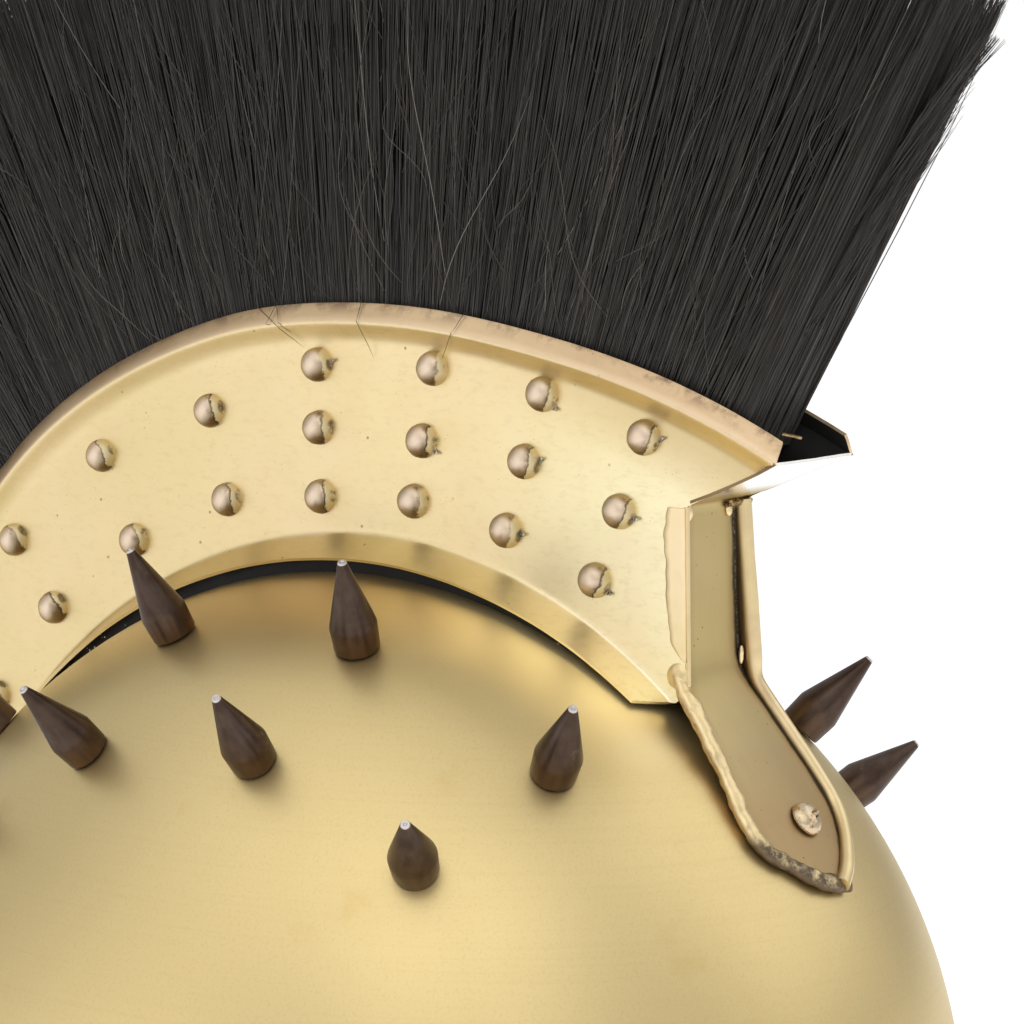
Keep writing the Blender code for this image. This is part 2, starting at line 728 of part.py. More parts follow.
def stand_on_rim(pieces):
    """Parent all pieces to an empty that puts the bottom centre of the whole box at the origin."""
    corners = [piece.matrix_world @ vertex.co for piece in pieces for vertex in piece.data.vertices]
    front = min(corner.y for corner in corners)
    rear = max(corner.y for corner in corners)
    bottom = min(corner.z for corner in corners)
    stand = bpy.data.objects.new("helmet", None)
    bpy.context.scene.collection.objects.link(stand)
    for made in bpy.context.scene.objects:
        if made is not stand:
            made.parent = stand
    stand.location = (0.0, -(front + rear) / 2, -bottom)


def main():
    for old in list(bpy.data.objects):
        bpy.data.objects.remove(old, do_unlink=True)
    bowl_brass = make_material("bowl_brass", (0.62, 0.46, 0.17), 1.0, 0.32)
    crest_brass = make_material("crest_brass", (0.78, 0.61, 0.30), 1.0, 0.38)
    rivet_brass = make_material("rivet_brass", (0.80, 0.64, 0.38), 1.0, 0.30)
    dark_steel = make_material("dark_steel", (0.055, 0.036, 0.030), 1.0, 0.42)
    bristle = make_material("bristle", (0.018, 0.017, 0.017), 0.0, 0.60)
    spikes = make_spikes(dark_steel)
    bowl = make_bowl(bowl_brass, make_bowl_holes())
    box = make_crest_box(crest_brass)
    rivets = make_rivets(rivet_brass)
    plume = make_plume(bristle)
    bpy.context.view_layer.update()
    stand_on_rim([bowl, plume, box] + spikes + rivets)


main()
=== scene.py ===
"""Crested brass helmet with conical spikes and a fan of black bristles, dressed over its CAD frame.

Sizes are in metres. The front is towards -Y, the wearer's right side towards -X. Angles along the
crest are measured about the centre of the bowl, from the crown, positive towards the front.
"""

from collections import namedtuple
from math import atan2, cos, degrees, hypot, pi, radians, sin, sqrt

import bmesh
import bpy
import numpy as np
from mathutils import Matrix, Vector, noise


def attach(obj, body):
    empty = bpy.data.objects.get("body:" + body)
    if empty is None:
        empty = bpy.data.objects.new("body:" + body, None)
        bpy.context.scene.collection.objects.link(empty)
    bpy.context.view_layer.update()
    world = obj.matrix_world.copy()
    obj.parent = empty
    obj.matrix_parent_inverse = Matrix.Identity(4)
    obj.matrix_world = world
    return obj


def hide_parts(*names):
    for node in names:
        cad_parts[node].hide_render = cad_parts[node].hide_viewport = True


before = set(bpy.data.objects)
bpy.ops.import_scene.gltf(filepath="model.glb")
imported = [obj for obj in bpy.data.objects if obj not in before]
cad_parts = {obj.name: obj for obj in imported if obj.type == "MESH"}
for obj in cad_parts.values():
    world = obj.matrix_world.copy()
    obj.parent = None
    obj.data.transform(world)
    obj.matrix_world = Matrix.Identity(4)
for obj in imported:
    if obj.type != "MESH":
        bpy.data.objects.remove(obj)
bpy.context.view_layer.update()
bpy.ops.object.select_all(action="DESELECT")

# Bowl
# One shell of brass, spun and hammered smooth, on an upright skirt. Its lower edge is rolled over
# and rests on the floor. The brass is satin, with faint stains and hairline scratches.
BOWL_CENTRE = Vector((0.0, -0.03761, 0.0380))
BOWL_HALF_WIDTH = 0.1100
BOWL_HALF_LENGTH = 0.1275
BOWL_CROWN = 0.1225
BOWL_WALL = 0.0012
SKIRT_DEPTH = 0.0380
BOWL_SEGMENTS = 160
BOWL_RINGS = 80
EdgeRow = namedtuple("EdgeRow", "reach height")
ROLLED_EDGE = (
    EdgeRow(0.0000, 0.0040),
    EdgeRow(0.0009, 0.0038),
    EdgeRow(0.0016, 0.0032),
    EdgeRow(0.0020, 0.0021),
    EdgeRow(0.0019, 0.0010),
    EdgeRow(0.0014, 0.0002),
    EdgeRow(0.0008, 0.0000),
    EdgeRow(-BOWL_WALL, 0.0000),
)
BOWL_COLOUR = (0.74, 0.575, 0.275)
BOWL_STAIN = (0.66, 0.44, 0.17)
MERGE_WITHIN = 0.000004


class Amount:
    """A number in a finish, so that sums on it read as sums."""

    def __init__(self, tree, socket):
        self.tree = tree
        self.socket = socket

    def sum(self, operation, first, second, clamp=False):
        node = self.tree.nodes.new("ShaderNodeMath")
        node.operation = operation
        node.use_clamp = clamp
        for socket, value in zip(node.inputs, (first, second)):
            if isinstance(value, Amount):
                self.tree.links.new(value.socket, socket)
            else:
                socket.default_value = value
        return Amount(self.tree, node.outputs[0])

    def __add__(self, other):
        return self.sum("ADD", self, other)

    def __radd__(self, other):
        return self.sum("ADD", other, self)

    def __sub__(self, other):
        return self.sum("SUBTRACT", self, other)

    def __rsub__(self, other):
        return self.sum("SUBTRACT", other, self)

    def __mul__(self, other):
        return self.sum("MULTIPLY", self, other)

    def __rmul__(self, other):
        return self.sum("MULTIPLY", other, self)

    def __truediv__(self, other):
        return self.sum("DIVIDE", self, other)

    def size(self):
        """The number without its sign."""
        return self.sum("ABSOLUTE", self, 0.0)

    def from_to(self, low, high):
        """0 up to low and 1 from high, or the other way where low is the larger."""
        return self.sum("MULTIPLY", self - low, 1 / (high - low), clamp=True)


class Finish:
    """One finish being made up: its material, its nodes and its surface."""

    def __init__(self, name, metallic, roughness, colour):
        self.material = bpy.data.materials.new(name)
        self.material.use_nodes = True
        self.tree = self.material.node_tree
        self.surface = self.tree.nodes["Principled BSDF"]
        self.surface.inputs["Metallic"].default_value = metallic
        self.surface.inputs["Roughness"].default_value = roughness
        self.surface.inputs["Base Color"].default_value = (*colour, 1.0)
        self.material.diffuse_color = (*colour, 1.0)
        self.tint = colour

    def node(self, kind, settings, inputs):
        """A node of a kind, with its settings first and then its sockets' values or links."""
        node = self.tree.nodes.new(kind)
        for name, value in settings.items():
            setattr(node, name, value)
        for name, value in inputs.items():
            self.join(value, node.inputs[name])
        return node

    def join(self, value, socket):
        if isinstance(value, Amount):
            self.tree.links.new(value.socket, socket)
        elif isinstance(value, bpy.types.NodeSocket):
            self.tree.links.new(value, socket)
        elif isinstance(value, tuple) and len(value) == 3 and socket.type == "RGBA":
            socket.default_value = (*value, 1.0)
        else:
            socket.default_value = value

    def place(self, stretch=(1.0, 1.0, 1.0), turn=(0.0, 0.0, 0.0)):
        """Point of the surface in metres, stretched and turned for a pattern."""
        here = self.node("ShaderNodeTexCoord", {}, {}).outputs["Object"]
        mapping = self.node(
            "ShaderNodeMapping", {}, {"Vector": here, "Rotation": turn, "Scale": stretch}
        )
        return mapping.outputs["Vector"]

    def axis(self, letter):
        """One coordinate of the surface in metres."""
        here = self.node("ShaderNodeTexCoord", {}, {}).outputs["Object"]
        parts = self.node("ShaderNodeSeparateXYZ", {}, {"Vector": here})
        return Amount(self.tree, parts.outputs[letter])

    def own_place(self):
        """Point of the piece as it was made, before it was put on the helmet."""
        node = self.node("ShaderNodeAttribute", {"attribute_name": "own_place"}, {})
        return node.outputs["Vector"]

    def own_axis(self, letter):
        parts = self.node("ShaderNodeSeparateXYZ", {}, {"Vector": self.own_place()})
        return Amount(self.tree, parts.outputs[letter])

    def own(self, name):
        """A value that the piece's own mesh carries."""
        node = self.node("ShaderNodeAttribute", {"attribute_name": name}, {})
        return Amount(self.tree, node.outputs["Fac"])

    def cloud(self, scale, detail=3.0, roughness=0.55, stretch=(1.0, 1.0, 1.0), turn=(0.0, 0.0, 0.0)):
        """Soft noise from 0 to 1."""
        values = {"Scale": scale, "Detail": detail, "Roughness": roughness}
        node = self.node("ShaderNodeTexNoise", {}, {"Vector": self.place(stretch, turn), **values})
        return Amount(self.tree, node.outputs["Fac"])

    def specks(self, scale, size):
        """Round specks, 1 inside and 0 outside; size is their radius as a share of their spacing."""
        values = {"Vector": self.place(), "Scale": scale}
        node = self.node("ShaderNodeTexVoronoi", {}, values)
        return Amount(self.tree, node.outputs["Distance"]).from_to(size, size * 0.5)

    def scratches(self, turn, fineness, share):
        """Hairlines that run one way; share is how much of the surface they take."""
        lines = self.cloud(1.0, 1.0, 0.5, (fineness / 60, fineness, fineness / 60), turn)
        patches = self.cloud(38.0, 2.0)
        return lines.from_to(1 - share, 1 - share + 0.06) * patches.from_to(0.50, 0.62)

    def blend(self, share, first, second):
        """Colour between two others."""
        settings = {"data_type": "RGBA", "blend_type": "MIX"}
        node = self.node("ShaderNodeMix", settings, {0: share, 6: first, 7: second})
        return node.outputs[2]

    def layer(self, share, colour, over=None):
        """Lays a colour over the tint so far, or over another colour, where share is 1."""
        self.tint = self.blend(share, over or self.tint, colour)

    def look(self, roughness):
        """Gives the surface its tint and its roughness."""
        self.join(self.tint, self.surface.inputs["Base Color"])
        self.join(roughness, self.surface.inputs["Roughness"])

    def relief(self, height, distance):
        """Fine relief; height runs from 0 to 1 and distance is its depth in metres."""
        values = {"Height": height, "Distance": distance, "Strength": 1.0}
        node = self.node("ShaderNodeBump", {}, values)
        self.join(node.outputs["Normal"], self.surface.inputs["Normal"])


def take(*pieces):
    """Selects these pieces and nothing else; the last one is active."""
    bpy.ops.object.select_all(action="DESELECT")
    for piece in pieces:
        piece.select_set(True)
    bpy.context.view_layer.objects.active = pieces[-1]


def name_piece(name):
    """Names the piece that a primitive has just made, and returns it."""
    piece = bpy.context.object
    piece.name = name
    piece.data.name = name
    return piece


def edit_mesh(piece):
    """Opens a piece in edit mode with nothing selected."""
    take(piece)
    bpy.ops.object.mode_set(mode="EDIT")
    bpy.ops.mesh.select_mode(type="VERT")
    bpy.ops.mesh.select_all(action="DESELECT")
    return bmesh.from_edit_mesh(piece.data)


def select_points(piece, test):
    """Selects the vertices whose place passes the test, in edit mode."""
    mesh = bmesh.from_edit_mesh(piece.data)
    for vertex in mesh.verts:
        vertex.select = test(vertex.co)
    mesh.select_flush_mode()
    bmesh.update_edit_mesh(piece.data)


def select_faces(piece, test):
    """Selects the faces whose centre passes the test, in edit mode."""
    bpy.ops.mesh.select_mode(type="FACE")
    mesh = bmesh.from_edit_mesh(piece.data)
    for face in mesh.faces:
        face.select = test(face.calc_center_median())
    mesh.select_flush_mode()
    bmesh.update_edit_mesh(piece.data)


def select_open_edges():
    """Selects the edges that have a face on one side only, in edit mode."""
    bpy.ops.mesh.select_all(action="DESELECT")
    bpy.ops.mesh.select_non_manifold()


def cap_open_ends():
    """Closes the ring last drawn up and then the one still open, and leaves edit mode."""
    bpy.ops.mesh.edge_face_add()
    select_open_edges()
    bpy.ops.mesh.edge_face_add()
    bpy.ops.object.mode_set(mode="OBJECT")


def close_mesh(piece, angle=35):
    """Merges what coincides, turns all faces outwards and shades the piece smooth up to an angle."""
    edit_mesh(piece)
    bpy.ops.mesh.select_all(action="SELECT")
    bpy.ops.mesh.remove_doubles(threshold=MERGE_WITHIN)
    bpy.ops.mesh.normals_make_consistent(inside=False)
    bpy.ops.object.mode_set(mode="OBJECT")
    bpy.ops.object.shade_smooth_by_angle(angle=radians(angle))


def finish_with(piece, kind, **settings):
    """Adds a modifier to a piece and applies it."""
    take(piece)
    bpy.ops.object.modifier_add(type=kind)
    modifier = piece.modifiers[-1]
    for name, value in settings.items():
        setattr(modifier, name, value)
    bpy.ops.object.modifier_apply(modifier=modifier.name)


def uneven(piece, size, depth):
    """Moves a surface in and out a little, as hand work leaves it."""
    texture = bpy.data.textures.new(piece.name + "_unevenness", type="CLOUDS")
    texture.noise_scale = size
    finish_with(piece, "DISPLACE", texture=texture, texture_coords="LOCAL", strength=depth)


def refine(sheet):
    """Rounds a sheet between its points and keeps its corners."""
    finish_with(sheet, "SUBSURF", levels=1, render_levels=1, boundary_smooth="PRESERVE_CORNERS")


def thicken(sheet, thickness, **settings):
    """Gives a sheet its thickness, inwards."""
    finish_with(sheet, "SOLIDIFY", thickness=thickness, offset=-1.0, **settings)


def copy_of(pattern, name):
    take(pattern)
    bpy.ops.object.duplicate()
    return name_piece(name)


def joined(pieces, name):
    """One piece made of several."""
    take(*pieces)
    bpy.ops.object.join()
    return name_piece(name)


def clamp(value):
    """The value, held between 0 and 1."""
    return min(max(value, 0.0), 1.0)


def fit_to_helmet(piece, material, slot, *nodes):
    """Gives a finished piece its material and its place on the helmet."""
    if not piece.data.materials:
        piece.data.materials.append(material)
    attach(piece, "root")
    if nodes:
        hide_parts(*nodes)


def half_shell(name, wall):
    """Upper half of one side of the bowl's wall, open below, left with its open edge selected."""
    sizes = (BOWL_HALF_WIDTH - wall, BOWL_HALF_LENGTH - wall, BOWL_CROWN - wall)
    bpy.ops.mesh.primitive_uv_sphere_add(
        segments=BOWL_SEGMENTS, ring_count=BOWL_RINGS, radius=1.0, location=BOWL_CENTRE, scale=sizes
    )
    shell = name_piece(name)
    bpy.ops.object.transform_apply()
    edit_mesh(shell)
    equator = BOWL_CENTRE.z - BOWL_CROWN / BOWL_RINGS / 2
    select_points(shell, lambda point: point.z < equator)
    bpy.ops.mesh.delete(type="VERT")
    select_open_edges()
    return shell


def extrude_down(depth, reach=0.0, new_reach=0.0):
    """Carries the open edge down by a depth, and from one reach beyond the wall to another."""
    bpy.ops.mesh.extrude_edges_move(TRANSFORM_OT_translate={"value": (0.0, 0.0, -depth)})
    wider = [(half + new_reach) / (half + reach) for half in (BOWL_HALF_WIDTH, BOWL_HALF_LENGTH)]
    bpy.ops.transform.resize(value=(*wider, 1.0), center_override=BOWL_CENTRE)


outer_shell = half_shell("bowl_shell", 0.0)
extrude_down((SKIRT_DEPTH - ROLLED_EDGE[0].height) / 2)
extrude_down((SKIRT_DEPTH - ROLLED_EDGE[0].height) / 2)
for row, following in zip(ROLLED_EDGE, ROLLED_EDGE[1:]):
    extrude_down(row.height - following.height, row.reach, following.reach)
bpy.ops.object.mode_set(mode="OBJECT")
inner_shell = half_shell("bowl_lining", BOWL_WALL)
extrude_down(SKIRT_DEPTH)
bpy.ops.object.mode_set(mode="OBJECT")
bowl = joined((inner_shell, outer_shell), "bowl_shell")
close_mesh(bowl)

bowl_brass = Finish("bowl_satin_brass", 0.95, 0.36, BOWL_COLOUR)
broad = bowl_brass.cloud(11.0, 3.0)
stains = bowl_brass.cloud(34.0, 4.0, 0.6)
spinning = bowl_brass.cloud(1.0, 3.0, 0.6, (12.0, 12.0, 1300.0))
hairlines = bowl_brass.scratches((0.3, 0.5, 0.9), 1500.0, 0.26)
crossing = bowl_brass.scratches((1.2, 0.1, 2.3), 1700.0, 0.24)
grain = bowl_brass.cloud(1700.0, 1.0, 0.7)
bowl_brass.layer(broad.from_to(0.35, 0.70) * 0.35, (0.77, 0.63, 0.34))
bowl_brass.layer(stains.from_to(0.62, 0.74) * 0.40, BOWL_STAIN)
bowl_brass.layer(spinning.from_to(0.52, 0.72) * 0.07, (0.52, 0.38, 0.16))
bowl_brass.layer(grain.from_to(0.52, 0.72) * 0.18, (0.54, 0.40, 0.17))
bowl_brass.layer(crossing * 0.30, (0.45, 0.32, 0.14))
# Painted light: in front of the crown, beside the crest, the bowl is painted lighter, standing in for
# light that the crest keeps from it.
painted_light_beside_crest = bowl_brass.axis("X").size().from_to(0.046, 0.026)
front_of_crown = bowl_brass.axis("Y").from_to(-0.050, -0.078)
near_crown = bowl_brass.axis("Z").from_to(0.126, 0.138)
bowl_brass.layer(painted_light_beside_crest * front_of_crown * near_crown, (1.0, 0.85, 0.50))
# Painted shade: the crown round and under the crest is painted darker, for the shade and dark
# reflection that the crest and plume give it.
crown_painted_shade = bowl_brass.axis("Y").size().from_to(0.075, 0.040)
crown_painted_shade = crown_painted_shade * bowl_brass.axis("Z").from_to(0.140, 0.150)
bowl_brass.layer(crown_painted_shade * 0.85, (0.56, 0.40, 0.19))
bowl_brass.look(
    0.34 + 0.05 * spinning + 0.05 * stains.from_to(0.45, 0.75) + 0.05 * grain - 0.06 * hairlines
)
bowl_brass.relief(spinning * 0.20 + grain * 0.35 - hairlines * 0.5, 0.000022)
fit_to_helmet(bowl, bowl_brass.material, "bowl_brass", "bowl")

# Spikes
# Sixteen screw-on steel cones, turned and oxidised dark brown, then waxed. Each stands square on the
# bowl in two rows a side; the flat at the tip is bare metal, and edges are rubbed.
SPIKE_LENGTH = 0.0217
SPIKE_SIDES = 40
SPIKE_LIFT = 0.0003
SpikeRow = namedtuple("SpikeRow", "radius height")
SPIKE_PROFILE = (
    SpikeRow(0.00465, 0.0000),
    SpikeRow(0.00485, 0.0003),
    SpikeRow(0.00505, 0.0056),
    SpikeRow(0.00490, 0.0063),
    SpikeRow(0.00095, 0.0215),
    SpikeRow(0.00080, 0.0217),
)
SPIKE_TIP_HOLLOW = 0.0003
SPIKE_POST_RADIUS = 0.0018
SPIKE_POST_DEPTH = 0.0024
PlaceRow = namedtuple("PlaceRow", "row_name side_share front_to_rear_degrees")
SPIKE_PLACES = (
    PlaceRow("right_upper", -0.413, (38.1, 10.4, -14.9, -43.5)),
    PlaceRow("right_lower", -0.672, (38.1, 10.1, -18.2, -43.5)),
    PlaceRow("left_upper", 0.365, (40.6, 10.4, -14.9, -43.5)),
    PlaceRow("left_lower", 0.630, (45.5, 10.1, -18.2, -43.5)),
)
SPIKE_TURN_STEP = 2.1


def bowl_radius(angle, x=0.0):
    """Distance from the bowl's centre line to its outside, in the plane at x, along a crest angle."""
    level = max(cos(angle), 0.0) / BOWL_CROWN
    return sqrt(1 - (x / BOWL_HALF_WIDTH) ** 2) / hypot(sin(angle) / BOWL_HALF_LENGTH, level)


def crest_point(x, radius, angle):
    """Point on the helmet from its polar place along the crest."""
    return BOWL_CENTRE + Vector((x, -radius * sin(angle), radius * cos(angle)))


def height_over_bowl(point):
    place = point - BOWL_CENTRE
    reach = hypot(place.x / BOWL_HALF_WIDTH, place.y / BOWL_HALF_LENGTH, place.z / BOWL_CROWN)
    return place.length * (1 - 1 / reach)


def stand_on_bowl(x, angle):
    """Matrix that puts a piece square on the bowl's outside."""
    point = crest_point(x, bowl_radius(angle, x), angle)
    out = point - BOWL_CENTRE
    normal = Vector((out.x / BOWL_HALF_WIDTH**2, out.y / BOWL_HALF_LENGTH**2, out.z / BOWL_CROWN**2))
    turn = normal.normalized().to_track_quat("Z", "Y").to_matrix().to_4x4()
    return Matrix.Translation(point) @ turn


def remember_own_place(piece):
    """Keeps each vertex's place before the piece is put on the helmet, for its patterns."""
    layer = piece.data.attributes.new("own_place", "FLOAT_VECTOR", "POINT")
    for item, vertex in zip(layer.data, piece.data.vertices):
        item.vector = vertex.co


def draw_ring(rise, share):
    """Draws the selected ring up, and narrows it to a share of its width."""
    bpy.ops.mesh.extrude_edges_move(TRANSFORM_OT_translate={"value": (0.0, 0.0, rise)})
    bpy.ops.transform.resize(value=(share, share, 1.0), center_override=(0.0, 0.0, 0.0))


def turned_piece(name, profile, sides):
    """Piece turned about Z: a ring that is drawn up row by row."""
    first = profile[0]
    bpy.ops.mesh.primitive_circle_add(
        vertices=sides, radius=first.radius, fill_type="NOTHING", location=(0.0, 0.0, first.height)
    )
    piece = name_piece(name)
    bpy.ops.object.transform_apply()
    edit_mesh(piece)
    bpy.ops.mesh.select_all(action="SELECT")
    for before, row in zip(profile, profile[1:]):
        draw_ring(row.height - before.height, row.radius / before.radius)
    return piece


def make_spike():
    """One spike at the origin, on its short plain post."""
    post = (SpikeRow(SPIKE_POST_RADIUS, -SPIKE_POST_DEPTH), SpikeRow(SPIKE_POST_RADIUS, SPIKE_LIFT))
    lifted = tuple(SpikeRow(row.radius, row.height + SPIKE_LIFT) for row in SPIKE_PROFILE[:4])
    spike = turned_piece("spike", post + lifted + SPIKE_PROFILE[4:], SPIKE_SIDES)
    # The centre of the tip is bored in a little
    draw_ring(0.0, 0.62)
    draw_ring(-SPIKE_TIP_HOLLOW, 0.45)
    cap_open_ends()
    close_mesh(spike, angle=22)
    remember_own_place(spike)
    return spike


spike_steel = Finish("oxidised_spike_steel", 1.0, 0.30, (0.080, 0.055, 0.045))
along = spike_steel.own_axis("Z") / SPIKE_LENGTH


def own_streaks(stretch, detail):
    """Noise that follows each spike's own length."""
    mapping = spike_steel.node(
        "ShaderNodeMapping", {}, {"Vector": spike_steel.own_place(), "Scale": stretch}
    )
    values = {"Vector": mapping.outputs["Vector"], "Scale": 1.0, "Detail": detail}
    noise_node = spike_steel.node("ShaderNodeTexNoise", {}, values)
    return Amount(spike_steel.tree, noise_node.outputs["Fac"])


turning = own_streaks((60.0, 60.0, 2600.0), 2.0)
streaks = own_streaks((520.0, 520.0, 40.0), 3.0)
blotch = spike_steel.cloud(210.0, 4.0, 0.6)
low_part = along.from_to(0.36, 0.18)
rubbed = spike_steel.cloud(95.0, 5.0, 0.7).from_to(0.62, 0.72)
rubbed = rubbed * spike_steel.cloud(1100.0, 3.0).from_to(0.42, 0.60)
tip_bare = along.from_to(0.978, 0.986)
spike_steel.layer(blotch.from_to(0.35, 0.70), (0.100, 0.068, 0.050), over=(0.064, 0.042, 0.032))
# Lighter streaks along each spike: partly turning marks, partly painted highlight streaks. On the lower
# part they are tinted reddish brown, as painted reflection.
spike_steel.layer(streaks.from_to(0.50, 0.72) * 0.30, (0.13, 0.105, 0.095))
spike_steel.layer(low_part * streaks.from_to(0.35, 0.60) * 0.45, (0.14, 0.080, 0.042))
spike_steel.layer(rubbed * 0.6, (0.34, 0.27, 0.20))
spike_steel.layer(tip_bare, (0.66, 0.62, 0.60))
spike_steel.look(0.25 + 0.12 * blotch + 0.08 * turning + 0.10 * rubbed + 0.12 * tip_bare)
spike_steel.relief(turning * 0.4 + streaks * 0.4 + rubbed * 0.4, 0.00003)

pattern_spike = make_spike()
for number, row in enumerate(SPIKE_PLACES):
    for station, angle_degrees in enumerate(row.front_to_rear_degrees, start=1):
        spike = copy_of(pattern_spike, f"cone_{row.row_name}_{station}")
        x = row.side_share * BOWL_HALF_WIDTH
        own_turn = Matrix.Rotation(SPIKE_TURN_STEP * (4 * number + station), 4, "Z")
        spike.data.transform(stand_on_bowl(x, radians(angle_degrees)) @ own_turn)
        fit_to_helmet(spike, spike_steel.material, "dark_steel", f"spike_{row.row_name}_{station}")
bpy.data.objects.remove(pattern_spike)

# Crest plates
# Two plates of thin sheet brass stand on edge over the bowl. Each has a flared foot that ends just
# clear of it, and a lip turned out and back in along the top. Brushed satin; inside, blackened and
# also near black as painted shade, since the inside of the box lies in shadow.
SIDES = (("right", -1), ("left", 1))
CREST_HEIGHT = 0.0565
CREST_FACE = 0.0121
CREST_SHEET = 0.0011
PLATE_SHEET = 0.0007
CREST_REAR_ANGLE = radians(-64.0)
CREST_FRONT_ANGLE = radians(34.0)
FRONT_BEND_ANGLE = radians(37.8)
REAR_BEND_ANGLE = radians(-66.0)
BEND_LIFT = 0.0060
LIP_DEPTH = 0.0083
LIP_REACH = 0.0034
LIP_RETURN = 0.0029
FOOT_REACH = 0.0076
FOOT_HIGHEST = 0.012
FOOT_RISE_AT_CROWN = 0.0056
FOOT_RISE_AT_FRONT = 0.0004
FOOT_RISE_AT_REAR = 0.0016
FOOT_GAP_AT_CROWN = 0.0027
FOOT_GAP_AT_FRONT = 0.0003
FOOT_GAP_AT_REAR = 0.0012
FOOT_CURVE_POWER = 1.5
FOOT_SETBACK = 0.0037
FOOT_END_SLANT = 0.0046
CORNER_SLANT = 0.8
FRONT_LEAN = 0.0012
PROW_ROOT_SHARE = 0.785
HeightRow = namedtuple("HeightRow", "angle_degrees height_share")
CREST_HEIGHTS = (
    HeightRow(-64, 0.53),
    HeightRow(-38, 0.89),
    HeightRow(-15, 1.00),
    HeightRow(0, 1.00),
    HeightRow(15, 1.01),
    HeightRow(42, 1.15),
)
CREST_STATIONS = 46
FRONT_STATIONS = 10
FRONT_STATION_START = radians(22.0)
PLATE_WOBBLE = 0.00025


def smooth_value(rows, angle):
    """Value of a two-column table at an angle, along a smooth curve through its rows."""
    place = degrees(angle)
    last = len(rows) - 1
    low = 0
    while low < last - 1 and place > rows[low + 1][0]:
        low += 1
    before = rows[max(low - 1, 0)]
    start, end = rows[low], rows[low + 1]
    after = rows[min(low + 2, last)]
    span = end[0] - start[0]
    t = (place - start[0]) / span
    slope_start = (end[1] - before[1]) / (end[0] - before[0]) * span
    slope_end = (after[1] - start[1]) / (after[0] - start[0]) * span
    return (
        (2 * t**3 - 3 * t**2 + 1) * start[1]
        + (t**3 - 2 * t**2 + t) * slope_start
        + (3 * t**2 - 2 * t**3) * end[1]
        + (t**3 - t**2) * slope_end
    )


def lip_radius(angle):
    """Radius of the crest's top edge."""
    return bowl_radius(angle) + CREST_HEIGHT * smooth_value(CREST_HEIGHTS, angle)


def foot_value(angle, crown, front, rear):
    """Size at a crest angle, which runs from one at the crown to another at either end."""
    end_angle, end_value = (FRONT_BEND_ANGLE, front) if angle > 0 else (CREST_REAR_ANGLE, rear)
    share = min(angle / end_angle, 1.0) ** FOOT_CURVE_POWER
    return crown + (end_value - crown) * share


def foot_crease_radius(angle):
    rise = foot_value(angle, FOOT_RISE_AT_CROWN, FOOT_RISE_AT_FRONT, FOOT_RISE_AT_REAR)
    return bowl_radius(angle) + rise


def foot_edge_radius(angle):
    gap = foot_value(angle, FOOT_GAP_AT_CROWN, FOOT_GAP_AT_FRONT, FOOT_GAP_AT_REAR)
    return bowl_radius(angle, CREST_FACE + FOOT_REACH) + gap + CREST_SHEET


SectionPoint = namedtuple("SectionPoint", "x radius foot lip")
FootRow = namedtuple("FootRow", "reach_share rise_share foot")
FOOT_ROWS = (
    FootRow(1.00, 0.00, 1.0),
    FootRow(0.97, 0.03, 1.0),
    FootRow(0.72, 0.25, 1.0),
    FootRow(0.42, 0.53, 1.0),
    FootRow(0.15, 0.82, 1.0),
    FootRow(0.02, 0.97, 0.6),
)


def plate_section(angle):
    """Outside of one plate at a crest angle, from the foot's edge up to the lip's inner edge."""
    face = CREST_FACE
    crease = foot_crease_radius(angle) + CREST_SHEET
    edge = foot_edge_radius(angle)
    top = lip_radius(angle)
    ridge = top - LIP_DEPTH
    apex = top - LIP_DEPTH / 2
    drop = crease - edge
    points = [
        SectionPoint(face + FOOT_REACH * row.reach_share, edge + drop * row.rise_share, row.foot, 0.0)
        for row in FOOT_ROWS
    ]
    points.append(SectionPoint(face, crease + 0.0005, 0.0, 0.0))
    for share in PLATE_SHARES:
        points.append(SectionPoint(face, crease + (ridge - crease) * share, 0.0, 0.0))
    points += [
        SectionPoint(face + 0.0002, ridge - 0.0003, 0.0, 0.1),
        SectionPoint(face + LIP_REACH * 0.20, ridge + LIP_DEPTH * 0.10, 0.0, 0.3),
        SectionPoint(face + LIP_REACH * 0.60, apex - LIP_DEPTH * 0.19, 0.0, 0.4),
        SectionPoint(face + LIP_REACH * 0.95, apex - LIP_DEPTH * 0.04, 0.0, 0.5),
        SectionPoint(face + LIP_REACH * 0.99, apex + LIP_DEPTH * 0.02, 0.0, 0.8),
        SectionPoint(face + LIP_REACH - LIP_RETURN * 0.25, apex + LIP_DEPTH * 0.14, 0.0, 1.0),
        SectionPoint(face + LIP_REACH - LIP_RETURN * 0.62, top - LIP_DEPTH * 0.16, 0.0, 1.5),
        SectionPoint(face + LIP_REACH - LIP_RETURN * 0.93, top - LIP_DEPTH * 0.02, 0.0, 1.9),
        SectionPoint(face + LIP_REACH - LIP_RETURN, top, 0.0, 2.0),
    ]
    return points


def front_outline():
    """Middle line down the front of the crest: tip, three points of the prow, root and bend."""
    bend = crest_point(0.0, bowl_radius(FRONT_BEND_ANGLE) + BEND_LIFT, FRONT_BEND_ANGLE)
    tip = crest_point(0.0, lip_radius(CREST_FRONT_ANGLE) - LIP_DEPTH / 2, CREST_FRONT_ANGLE)
    root = Vector((0.0, bend.y + FRONT_LEAN, bend.z + (tip.z - bend.z) * PROW_ROOT_SHARE))
    return [tip.lerp(root, share) for share in (0.0, 0.25, 0.5, 0.75, 1.0)] + [bend]


FRONT_LINE = front_outline()


